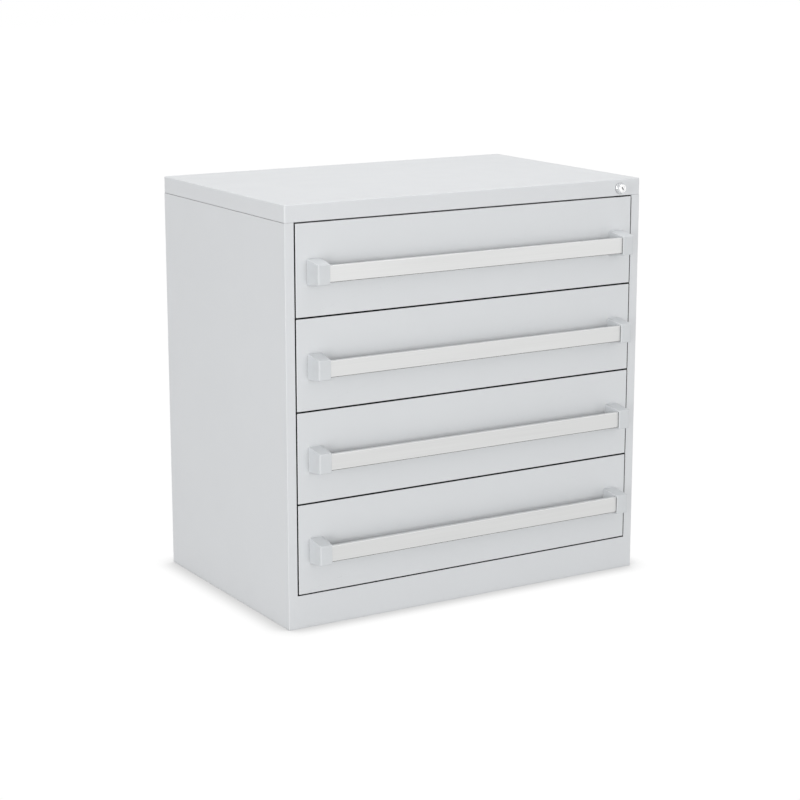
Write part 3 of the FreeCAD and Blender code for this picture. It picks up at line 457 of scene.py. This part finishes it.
def make_finishes():
    # Painted shade: gap_shade darkens colours in gaps and seams, handle_shade darkens them behind
    # the bars.
    gap = make_open_group("gap_shade", 14 * MM, 0.37, 0.52, 0.01)
    near = make_open_group("handle_shade", 36 * MM, 0.71, 0.885, 0.74)
    coat, lines = make_coat_group(gap), make_grain_group(gap)
    spangle, moulded = make_spangle_group(), make_moulded_group()
    paint = (0.700, 0.715, 0.731, 1)
    return {
        "case_paint": finish(
            "case_paint", coat,
            {"Colour": paint, "Cloudiness": 0.006, "Roughness": 0.46, "Gloss spread": 0.04,
             "Peel scale": 620.0}, 0.06, 0.05 * MM),
        # Painted shade behind the bars and beside the end blocks on the drawer fronts.
        "front_paint": shaded_by_handle(finish(
            "front_paint", coat,
            {"Colour": (0.697, 0.713, 0.728, 1), "Cloudiness": 0.006, "Roughness": 0.44,
             "Gloss spread": 0.04, "Peel scale": 620.0}, 0.06, 0.05 * MM),
            near, -20 * MM, 6 * MM, 0.84),
        "tray_paint": finish(
            "tray_paint", coat,
            {"Colour": (0.66, 0.672, 0.686, 1), "Cloudiness": 0.012, "Roughness": 0.5,
             "Gloss spread": 0.06, "Peel scale": 520.0}, 0.16, 0.05 * MM),
        "inner_paint": finish(
            "inner_paint", coat,
            {"Colour": (0.52, 0.53, 0.545, 1), "Cloudiness": 0.03, "Roughness": 0.55,
             "Gloss spread": 0.08, "Peel scale": 420.0}, 0.2, 0.05 * MM),
        "rail_zinc": finish(
            "rail_zinc", spangle,
            {"Colour": (0.60, 0.615, 0.64, 1), "Crystal scale": 150.0, "Tone spread": 0.07,
             "Roughness": 0.34}, 0.1, 0.03 * MM, Metallic=1.0),
        "bright_zinc": finish(
            "bright_zinc", spangle,
            {"Colour": (0.70, 0.70, 0.71, 1), "Crystal scale": 420.0, "Tone spread": 0.04,
             "Roughness": 0.24}, 0.08, 0.02 * MM, Metallic=1.0),
        # Painted highlight: the bar's upward-facing surfaces are lightened in colour.
        "bar_aluminium": painted_top_highlight(finish(
            "bar_aluminium", lines,
            {"Colour": (0.648, 0.651, 0.648, 1), "Tone spread": 0.03, "Roughness": 0.38,
             "Gloss spread": 0.05}, 0.06, 0.02 * MM, Metallic=1.0, Anisotropic=0.4), 1.2),
        # Painted shade on the end blocks' inner faces behind the bars.
        "block_plastic": shaded_by_handle(finish(
            "block_plastic", moulded,
            {"Colour": (0.640, 0.660, 0.676, 1), "Tone spread": 0.015, "Roughness": 0.58,
             "Grain scale": 1700.0}, 0.12, 0.03 * MM), near, 0, 3 * MM, 1.0),
        "roller_nylon": finish(
            "roller_nylon", moulded,
            {"Colour": (0.80, 0.79, 0.74, 1), "Tone spread": 0.03, "Roughness": 0.38,
             "Grain scale": 900.0}, 0.1, 0.03 * MM, Subsurface_Weight=0.1,
            Subsurface_Radius=(0.002, 0.002, 0.002)),
        "foot_nylon": finish(
            "foot_nylon", moulded,
            {"Colour": (0.035, 0.036, 0.038, 1), "Tone spread": 0.1, "Roughness": 0.5,
             "Grain scale": 1100.0}, 0.2, 0.05 * MM),
        "lock_chrome": lock_finish(lines),
    }


# ---- mesh tools ----

def deselect():
    bpy.ops.object.select_all(action="DESELECT")


def select_only(piece):
    deselect()
    piece.select_set(True)
    bpy.context.view_layer.objects.active = piece


@contextmanager
def editing(piece, kind):
    """Edit mode with nothing selected; kind is VERT, EDGE or FACE."""
    select_only(piece)
    bpy.ops.object.mode_set(mode="EDIT")
    bpy.ops.mesh.select_mode(type=kind)
    bpy.ops.mesh.select_all(action="DESELECT")
    yield
    bpy.ops.object.mode_set(mode="OBJECT")


def pick_edges(piece, wanted):
    """Select, in edit mode, the edges that pass a test of their two ends."""
    shape = bmesh.from_edit_mesh(piece.data)
    for edge in shape.edges:
        edge.select_set(wanted(edge.verts[0].co, edge.verts[1].co))
    bmesh.update_edit_mesh(piece.data)


def pick_faces(piece, wanted):
    """Select, in edit mode, the faces that pass a test of their middle and normal."""
    shape = bmesh.from_edit_mesh(piece.data)
    for face in shape.faces:
        face.select_set(wanted(face.calc_center_median(), face.normal))
    bmesh.update_edit_mesh(piece.data)


def settle(piece):
    """Put a new primitive's place, turn and scale into its mesh."""
    select_only(piece)
    bpy.ops.object.transform_apply(location=True, rotation=True, scale=True)
    return piece


def block(name, low, high):
    low, high = Vector(low), Vector(high)
    deselect()
    bpy.ops.mesh.primitive_cube_add(size=1, location=(low + high) / 2, scale=high - low)
    bpy.context.object.name = name
    return settle(bpy.context.object)


def round_bar(name, start, end, radius, far_radius=None, sides=64):
    """A cylinder or cone between two points."""
    start, end = Vector(start), Vector(end)
    deselect()
    bpy.ops.mesh.primitive_cone_add(
        vertices=sides, radius1=radius, radius2=radius if far_radius is None else far_radius,
        depth=(end - start).length, location=(start + end) / 2,
        rotation=(end - start).to_track_quat("Z", "Y").to_euler())
    bpy.context.object.name = name
    return settle(bpy.context.object)


def modify(piece, kind, **settings):
    """Add a modifier and apply it."""
    select_only(piece)
    bpy.ops.object.modifier_add(type=kind)
    modifier = piece.modifiers[-1]
    for name, value in settings.items():
        setattr(modifier, name, value)
    bpy.ops.object.modifier_apply(modifier=modifier.name)


def soften(piece, width, segments=2, angle=40):
    """Round every edge sharper than an angle, in degrees."""
    modify(piece, "BEVEL", width=width, segments=segments, limit_method="ANGLE",
           angle_limit=math.radians(angle), use_clamp_overlap=True)


def smooth(piece, angle=35):
    select_only(piece)
    bpy.ops.object.shade_smooth_by_angle(angle=math.radians(angle))


def carve(piece, cutter):
    """Take a cutter away from a piece, and the cutter with it."""
    modify(piece, "BOOLEAN", object=cutter, operation="DIFFERENCE", solver="EXACT")
    bpy.data.objects.remove(cutter)


def merge(piece, addition):
    """Melt an addition into a piece."""
    modify(piece, "BOOLEAN", object=addition, operation="UNION", solver="EXACT")
    bpy.data.objects.remove(addition)


def gather(name, members):
    """One piece of several meshes that don't touch or only meet."""
    deselect()
    for member in members:
        member.select_set(True)
    bpy.context.view_layer.objects.active = members[0]
    if len(members) > 1:
        bpy.ops.object.join()
    whole = bpy.context.view_layer.objects.active
    whole.name = name
    return whole


def copy_of(piece, shift, name="copy"):
    """A copy with its own mesh, moved by a shift."""
    twin = bpy.data.objects.new(name, piece.data.copy())
    bpy.context.collection.objects.link(twin)
    twin.location = shift
    return settle(twin)


def mirrored(piece):
    """The same piece on the left of the cabinet, with its faces pointing outwards."""
    twin = bpy.data.objects.new(f"{piece.name}_left", piece.data.copy())
    bpy.context.collection.objects.link(twin)
    twin.scale = (-1, 1, 1)
    settle(twin)
    with editing(twin, "FACE"):
        bpy.ops.mesh.select_all(action="SELECT")
        bpy.ops.mesh.normals_make_consistent(inside=False)
    return twin


def on_plane(axis, value):
    return lambda point: abs(point[axis] - value) < NEAR


def pan(name, low, high, open_axis, open_side, wall, corner, rim, hem):
    """A folded pan: a box with rounded corners and edges, one side open, made of sheet."""
    piece = block(name, low, high)
    open_value = (high if open_side > 0 else low)[open_axis]
    shut = on_plane(open_axis, (low if open_side > 0 else high)[open_axis])
    with editing(piece, "EDGE"):
        pick_edges(piece, lambda a, b: abs(a[open_axis] - b[open_axis]) > NEAR)
        bpy.ops.mesh.bevel(offset=corner, segments=5, affect="EDGES")
    with editing(piece, "EDGE"):
        pick_edges(piece, lambda a, b: shut(a) and shut(b))
        bpy.ops.mesh.bevel(offset=rim, segments=4, affect="EDGES")
    with editing(piece, "FACE"):
        pick_faces(piece, lambda middle, normal: abs(middle[open_axis] - open_value) < NEAR)
        bpy.ops.mesh.delete(type="FACE")
    modify(piece, "SOLIDIFY", thickness=wall, offset=-1, use_even_offset=True)
    soften(piece, hem, segments=2, angle=60)
    smooth(piece)
    return piece


def folded_sheet(name, profile, run, outward, wall, bend, hem=0.25 * MM):
    """Sheet bent along a profile of corner points and drawn out along a run.

    The profile is the outer line of the sheet; outward is the first leg's outer direction. The
    bend is one radius, or one for each corner, and 0 leaves a corner sharp.
    """
    points = [Vector(point) for point in profile]
    run = Vector(run)
    leg = points[1] - points[0]
    across, along = leg.normalized(), run.normalized()
    turn = Matrix((across, along, across.cross(along))).transposed()
    deselect()
    bpy.ops.mesh.primitive_plane_add(
        size=1, location=points[0] + leg / 2 + run / 2, rotation=turn.to_euler())
    piece = bpy.context.object
    piece.name = name
    piece.scale = (leg.length, run.length, 1)
    settle(piece)

    def lies_on(corner):
        def close(point):
            return (point - corner).cross(along).length < NEAR
        return lambda a, b: close(a) and close(b)

    with editing(piece, "EDGE"):
        pick_edges(piece, lies_on(points[1]))
        for start, end in zip(points[1:], points[2:]):
            bpy.ops.mesh.extrude_edges_move(TRANSFORM_OT_translate={"value": end - start})
    with editing(piece, "FACE"):
        bpy.ops.mesh.select_all(action="SELECT")
        bpy.ops.mesh.normals_make_consistent(inside=False)
        shape = bmesh.from_edit_mesh(piece.data)
        first = min(shape.faces, key=lambda face: (
            face.calc_center_median() - points[0] - leg / 2 - run / 2).length)
        if first.normal.dot(Vector(outward)) < 0:
            bpy.ops.mesh.flip_normals()
    bends = bend if isinstance(bend, tuple) else (bend,) * (len(points) - 2)
    for corner, radius in zip(points[1:-1], bends):
        if radius:
            with editing(piece, "EDGE"):
                pick_edges(piece, lies_on(corner))
                bpy.ops.mesh.bevel(offset=radius, segments=4, affect="EDGES")
    modify(piece, "SOLIDIFY", thickness=wall, offset=-1, use_even_offset=True)
    soften(piece, hem, segments=2, angle=60)
    smooth(piece)
    return piece


def finished(piece, body, slot_name, *replaced):
    """Give a piece its material, chosen by slot name, and its body, and hide the CAD nodes that
    it stands for.
    """
    modify(piece, "WEIGHTED_NORMAL", mode="FACE_AREA", keep_sharp=True, weight=80)
    piece.data.materials.clear()
    piece.data.materials.append(finishes[slot_name])
    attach(piece, body)
    if replaced:
        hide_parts(*replaced)
    return piece


# ---- case ----

def make_case_shell():
    low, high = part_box("top_cap")
    cap = pan("cap_shell", low, high, 2, -1, 1.5 * MM, 3 * MM, 1.6 * MM, 0.4 * MM)
    barrel_low, barrel_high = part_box("lock_barrel")
    lock = (barrel_low + barrel_high) / 2
    carve(cap, round_bar("lock_hole", (lock.x, low.y - MM, lock.z),
                         (lock.x, low.y + 3 * MM, lock.z), 9.6 * MM))
    smooth(cap)
    finished(cap, "case", "case_paint", "top_cap")

    low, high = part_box("right_side_panel")
    front, back, side = low.y, high.y, high.x
    stile, hem_depth = 18.6 * MM, 14 * MM
    profile = [(side - stile, front + hem_depth, 0), (side - stile, front, 0), (side, front, 0),
               (side, back, 0), (side - 20 * MM, back, 0)]
    right = folded_sheet("right_panel", profile, Z * high.z, -X, 1.2 * MM, 1.3 * MM)
    with editing(right, "EDGE"):
        pick_edges(right, lambda a, b: min(a.z, b.z) > high.z - 0.5 * MM
                   and max(a.y, b.y) < front + 1.25 * MM)
        bpy.ops.transform.translate(value=(0, 0, 0.45 * MM))
    left = mirrored(right)
    left.name = "left_panel"
    finished(right, "case", "case_paint", "right_side_panel")
    finished(left, "case", "case_paint", "left_side_panel")

    low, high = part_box("plinth_front")
    overlap, skin = 2.4 * MM, 0.02 * MM
    start, face = low.x - overlap, low.y - skin
    profile = [(start, high.y, low.z), (start, face, low.z), (start, face, high.z),
               (start, high.y, high.z)]
    plinth = folded_sheet("plinth", profile, X * (high.x - low.x + 2 * overlap), -Z, 1.2 * MM,
                          (0, 1.3 * MM), 0.05 * MM)
    finished(plinth, "case", "case_paint", "plinth_front")

    low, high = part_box("base_pan")
    base = pan("base", low, high, 2, -1, 1.2 * MM, 1.5 * MM, 1.3 * MM, 0.2 * MM)
    finished(base, "case", "inner_paint", "base_pan")

    low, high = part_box("back_panel")
    back_sheet = block("back_sheet", low, high)
    soften(back_sheet, 0.25 * MM)
    finished(back_sheet, "case", "case_paint", "back_panel")


# ---- slides ----

def place_of(node):
    """The middle of a node's box, and the node's right-hand face."""
    low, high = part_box(node)
    return (low + high) / 2, high.x


def make_wheel(node):
    """A nylon roller with a shallow dish in both faces, bored for its axle, and its twin."""
    middle, outer = place_of(node)
    y, z, width = middle.y, middle.z, 6 * MM
    wheel = round_bar("wheel", (outer - width, y, z), (outer, y, z), 11 * MM)
    with editing(wheel, "FACE"):
        pick_faces(wheel, lambda centre, normal: abs(normal.x) > 0.9)
        bpy.ops.mesh.inset(thickness=2.2 * MM, use_individual=True)
        bpy.ops.mesh.inset(thickness=0.5 * MM, depth=-0.8 * MM, use_individual=True)
    soften(wheel, 0.35 * MM)
    carve(wheel, round_bar("bore", (outer - 2 * width, y, z), (outer + width, y, z), 2.55 * MM,
                           sides=32))
    smooth(wheel)
    return gather(node + "_wheels", [wheel, mirrored(wheel)])


def make_axle(start, end, y, z, head_start):
    """A headed stud along x; the head is 0.8 mm thick."""
    shank = round_bar("axle", (start, y, z), (end, y, z), 2.5 * MM, sides=32)
    head = round_bar("head", (head_start, y, z), (head_start + 0.8 * MM, y, z), 3.2 * MM,
                     sides=32)
    soften(head, 0.25 * MM)
    smooth(head)
    smooth(shank)
    return [shank, head]


def make_case_rails():
    """Channels on the uprights, cut away over their front rollers, and the front axles."""
    low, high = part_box("case_rails")
    sheet, tip, web = 1.5 * MM, 351.2 * MM, high.x - 1.5 * MM
    bottom = low.z
    height = 25.6 * MM
    profile = [(tip, low.y, bottom + height), (high.x, low.y, bottom + height),
               (high.x, low.y, bottom), (tip, low.y, bottom)]
    rail = folded_sheet("case_rail", profile, Y * (high.y - low.y), Z, sheet, 1.7 * MM)
    middle, outer = place_of("drawer_1_case_rollers")
    carve(rail, block("window", (tip - MM, low.y - MM, bottom + height - 1.6 * MM),
                      (web - 0.4 * MM, middle.y + 11.3 * MM, bottom + height + MM)))
    smooth(rail)
    rail = gather("case_rail", [rail] + make_axle(
        outer - 6.2 * MM, web + 0.2 * MM, middle.y, middle.z, outer - 7 * MM))
    pair = gather("case_rail_pair", [rail, mirrored(rail)])
    rises = [Z * (level_of(drawer) - level_of(DRAWERS[0])) for drawer in DRAWERS[1:]]
    finished(gather("case_rail_set", [pair] + [copy_of(pair, rise) for rise in rises]),
             "case", "rail_zinc", "case_rails")


def make_rail_screws():
    """Cross-recessed round heads on the case rails' webs."""
    low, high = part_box("case_rail_screws")
    face, radius = high.x - 6.5 * MM, 3 * MM
    y, z = low.y + radius, low.z + radius
    screw = round_bar("rail_screw", (face - 1.2 * MM, y, z), (face, y, z), radius, sides=32)
    soften(screw, 0.5 * MM, segments=3)
    for height, width in ((3.4 * MM, 0.7 * MM), (0.7 * MM, 3.4 * MM)):
        carve(screw, block("recess", (face - 2 * MM, y - width / 2, z - height / 2),
                           (face - 0.6 * MM, y + width / 2, z + height / 2)))
    smooth(screw)
    shank = round_bar("shank", (face, y, z), (high.x, y, z), 2.4 * MM, sides=24)
    smooth(shank)
    front = gather("rail_screw", [screw, shank])
    back = copy_of(front, Y * (high.y - radius - y))
    side = gather("rail_screw", [front, back])
    level = gather("rail_screw", [side, mirrored(side)])
    rises = [Z * (level_of(drawer) - level_of(DRAWERS[0])) for drawer in DRAWERS[1:]]
    finished(gather("rail_screw_set", [level] + [copy_of(level, rise) for rise in rises]),
             "case", "bright_zinc", "case_rail_screws")


# ---- drawers: the pieces of the lowest one ----

def level_of(drawer):
    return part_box(f"{drawer}_front")[0].z


def make_front():
    low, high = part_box("drawer_1_front")
    margin = Vector((0.3 * MM, 0, 0.3 * MM))
    return pan("face", low + margin, high - margin, 1, 1, 1.2 * MM, 1.25 * MM, 1.25 * MM,
               0.15 * MM)


def make_bar():
    """An aluminium box section with a fine groove along the lower edge of its face."""
    low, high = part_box("drawer_1_handle_bar")
    bar = block("bar", low, high)
    for edge_z, radius in ((high.z, 1.2 * MM), (low.z, 0.4 * MM)):
        with editing(bar, "EDGE"):
            level = on_plane(2, edge_z)
            pick_edges(bar, lambda a, b: abs(a.x - b.x) > NEAR and level(a) and level(b))
            bpy.ops.mesh.bevel(offset=radius, segments=4, affect="EDGES")
    wall = Vector((-MM, 1.6 * MM, 1.6 * MM))
    carve(bar, block("hollow", low + wall, high - wall))
    carve(bar, block("groove", (low.x - MM, low.y - MM, low.z + 0.5 * MM),
                     (high.x + MM, low.y + 1.0 * MM, low.z + 1.2 * MM)))
    smooth(bar)
    return bar


def make_blocks():
    """Moulded end blocks that flare towards the drawer front, each with a socket for the bar."""
    bar_low, bar_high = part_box("drawer_1_handle_bar")
    face_low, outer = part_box("drawer_1_handle_ends")
    middle = (bar_low.z + bar_high.z) / 2
    face, seat, inner = face_low.y, outer.y, outer.x - BLOCK_WIDTH
    end = block("end", (inner, face, middle - 18 * MM), (outer.x, seat, middle + 18 * MM))
    for wanted, shift in (
            (lambda a, b: a.z + b.z > 2 * middle + 30 * MM, (0, 0, 5.5 * MM)),
            (lambda a, b: a.z + b.z < 2 * middle - 30 * MM, (0, 0, -5.5 * MM)),
            (lambda a, b: max(a.x, b.x) < inner + NEAR, (-4.5 * MM, 0, 0))):
        with editing(end, "EDGE"):
            pick_edges(end, lambda a, b: min(a.y, b.y) > seat - NEAR and wanted(a, b))
            bpy.ops.transform.translate(value=shift)
    for radius, segments, wanted in (
            (3 * MM, 6, lambda a, b: (min(a.x, b.x) > outer.x - NEAR
                                      and max(a.y, b.y) < face + NEAR)),
            (1.4 * MM, 4, None)):
        with editing(end, "EDGE"):
            if wanted:
                pick_edges(end, wanted)
            else:
                shape = bmesh.from_edit_mesh(end.data)
                for edge in shape.edges:
                    edge.select_set(edge.calc_face_angle() > math.radians(60)
                                    and min(vert.co.y for vert in edge.verts) < seat - NEAR)
                bmesh.update_edit_mesh(end.data)
            bpy.ops.mesh.bevel(offset=radius, segments=segments, affect="EDGES")
    slack, front_slack = 0.2 * MM, 0.9 * MM
    carve(end, block("socket", (inner - 6 * MM, bar_low.y - front_slack, bar_low.z - slack),
                     (inner + 10 * MM, bar_high.y + slack, bar_high.z + slack)))
    smooth(end)
    return gather("ends", [end, mirrored(end)])


def make_tray():
    """The folded tray with its lip, and the liner sheet that closes the drawer's front."""
    low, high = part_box("drawer_1_tray")
    _, front_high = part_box("drawer_1_front")
    level = level_of("drawer_1")
    box_low = Vector((-TRAY_HALF_WIDTH, front_high.y, level + 10 * MM))
    box_high = Vector((TRAY_HALF_WIDTH, high.y, level + 122 * MM))
    tray = pan("tray", box_low, box_high, 2, 1, 1.0 * MM, 1.2 * MM, 1.2 * MM, 0.2 * MM)
    lip = block("lip", (box_low.x, box_low.y, box_high.z - 1.0 * MM), box_high)
    with editing(lip, "EDGE"):
        pick_edges(lip, lambda a, b: abs(a.z - b.z) > NEAR)
        bpy.ops.mesh.bevel(offset=1.2 * MM, segments=4, affect="EDGES")
    inset = Vector((8 * MM, 8 * MM, 0))
    carve(lip, block("mouth", box_low + inset, box_high - inset + Z * MM))
    merge(tray, lip)
    liner = block("liner", (low.x, low.y, low.z), (high.x, front_high.y, high.z))
    soften(liner, 0.2 * MM)
    whole = gather("box", [tray, liner])
    smooth(whole)
    return whole


def make_dividers():
    """Six folded strips that part the tray into seven rows for slides."""
    low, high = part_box("drawer_1_row_dividers")
    width, strips = 12 * MM, 6
    pitch = (high.x - low.x - width) / (strips - 1)
    profile = [(low.x, low.y, low.z), (low.x, low.y, high.z),
               (low.x + width, low.y, high.z), (low.x + width, low.y, low.z)]
    first = folded_sheet("divider", profile, Y * (high.y - low.y), -X, 0.8 * MM, 1.6 * MM)
    return gather("dividers", [first] + [copy_of(first, X * pitch * n)
                                        for n in range(1, strips)])


def make_tray_rails():
    """Angles on the tray's sides that run on the front rollers, and the rear axles."""
    low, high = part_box("drawer_1_tray_rails")
    half, tip = TRAY_HALF_WIDTH, high.x
    profile = [(half, low.y, low.z), (half, low.y, high.z), (tip, low.y, high.z)]
    rail = folded_sheet("tray_rail", profile, Y * (high.y - low.y), -X, 1.5 * MM, 1.7 * MM)
    middle, outer = place_of("drawer_1_tray_rollers")
    rail = gather("tray_rail", [rail] + make_axle(
        half + 1.3 * MM, outer + 0.2 * MM, middle.y, middle.z, outer + 0.2 * MM))
    return gather("rails", [rail, mirrored(rail)])


def make_drawers():
    """Model the lowest drawer's pieces once, and copy them up to the other three."""
    models = [
        (make_front(), "", "front_paint", "front"),
        (make_bar(), "", "bar_aluminium", "handle_bar"),
        (make_blocks(), "", "block_plastic", "handle_ends"),
        (make_tray(), "", "tray_paint", "tray"),
        (make_dividers(), "", "tray_paint", "row_dividers"),
        (make_tray_rails(), "", "rail_zinc", "tray_rails"),
        (make_wheel("drawer_1_case_rollers"), "_case_rollers", "roller_nylon", "case_rollers"),
        (make_wheel("drawer_1_tray_rollers"), "_tray_rollers", "roller_nylon", "tray_rollers"),
    ]
    for drawer in reversed(DRAWERS):
        rise = Z * (level_of(drawer) - level_of(DRAWERS[0]))
        for model, body, slot_name, node in models:
            piece = model if drawer == DRAWERS[0] else copy_of(model, rise)
            piece.name = f"{drawer}_{node}_piece"
            finished(piece, drawer + body, slot_name, f"{drawer}_{node}")


# ---- lock ----

def make_lock():
    """The ring, nose and shell of the lock, and its plug with a keyway on both sides."""
    low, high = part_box("lock_barrel")
    centre = (low + high) / 2
    x, z, front = centre.x, centre.z, low.y
    cap_face = front + 9.2 * MM

    def turned(name, start, end, radius, far=None, edge=0.3 * MM):
        piece = round_bar(name, (x, start, z), (x, end, z), radius, far, sides=LOCK_SIDES)
        soften(piece, edge, segments=3)
        return piece

    barrel = turned("lock_face", cap_face - 2 * MM, cap_face, 10.8 * MM, edge=1.5 * MM)
    merge(barrel, turned("nose", front, cap_face - 1 * MM, 7.8 * MM, 8.6 * MM, 0.6 * MM))
    merge(barrel, turned("shell", cap_face - 1 * MM, high.y, 9.5 * MM))
    carve(barrel, round_bar("plug_hole", (x, front - MM, z), (x, high.y + MM, z), 5.55 * MM,
                            sides=LOCK_SIDES))
    smooth(barrel, 30)
    finished(barrel, "case", "lock_chrome", "lock_barrel")

    plug_low, plug_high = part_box("lock_plug")
    plug = round_bar("lock_core", (x, plug_low.y, z), (x, cap_face + 15.5 * MM, z), 5.5 * MM,
                     sides=LOCK_SIDES)
    soften(plug, 0.25 * MM)
    drive = block("drive", (x - 3.5 * MM, cap_face + 15.4 * MM, z - 3.5 * MM),
                  (x + 3.5 * MM, cap_face + 18 * MM, z + 3.5 * MM))
    merge(plug, drive)
    merge(plug, round_bar("stub", (x, cap_face + 17.9 * MM, z), (x, plug_high.y, z), 2 * MM))
    for side in (-1, 1):
        keyway = block("keyway", (x - 2.0 * MM, plug_low.y - MM, z - 0.3 * MM),
                       (x + 0.2 * MM, plug_low.y + 9 * MM, z + 3.1 * MM))
        if side < 0:
            keyway.data.transform(
                Matrix.Translation((x, 0, z)) @ Matrix.Rotation(math.pi, 4, "Y")
                @ Matrix.Translation((-x, 0, -z)))
        carve(plug, keyway)
    smooth(plug, 30)
    finished(plug, "lock_plug", "lock_chrome", "lock_plug")


# ---- the whole cabinet ----

place_camera()
light_world(0.58)
area_lamp("front_softbox", (-0.9, -5.4, 1.12), (0, 0, 0.4), 1.8, 89.5)
area_lamp("left_softbox", (-5.6, -1.6, 0.9), (0, 0, 0.38), 1.8, 95)
area_lamp("right_softbox", (4.8, -4.0, 0.5), (0, 0, 0.4), 1.8, 9)
area_lamp("overhead_softbox", (0, -0.1, 3.6), (0, 0, 0.76), 1.8, 34.5)
lay_floor()

finishes = make_finishes()
for record_part in frame["record"]["subparts"]:
    node = frame["nodes"][record_part["node"]]
    node.data.materials.clear()
    node.data.materials.append(finishes[record_part["material_slot"]])

make_case_shell()
make_case_rails()
make_rail_screws()
make_drawers()
make_lock()

bpy.context.scene.view_settings.view_transform = "Standard"
deselect()
bpy.context.view_layer.update()
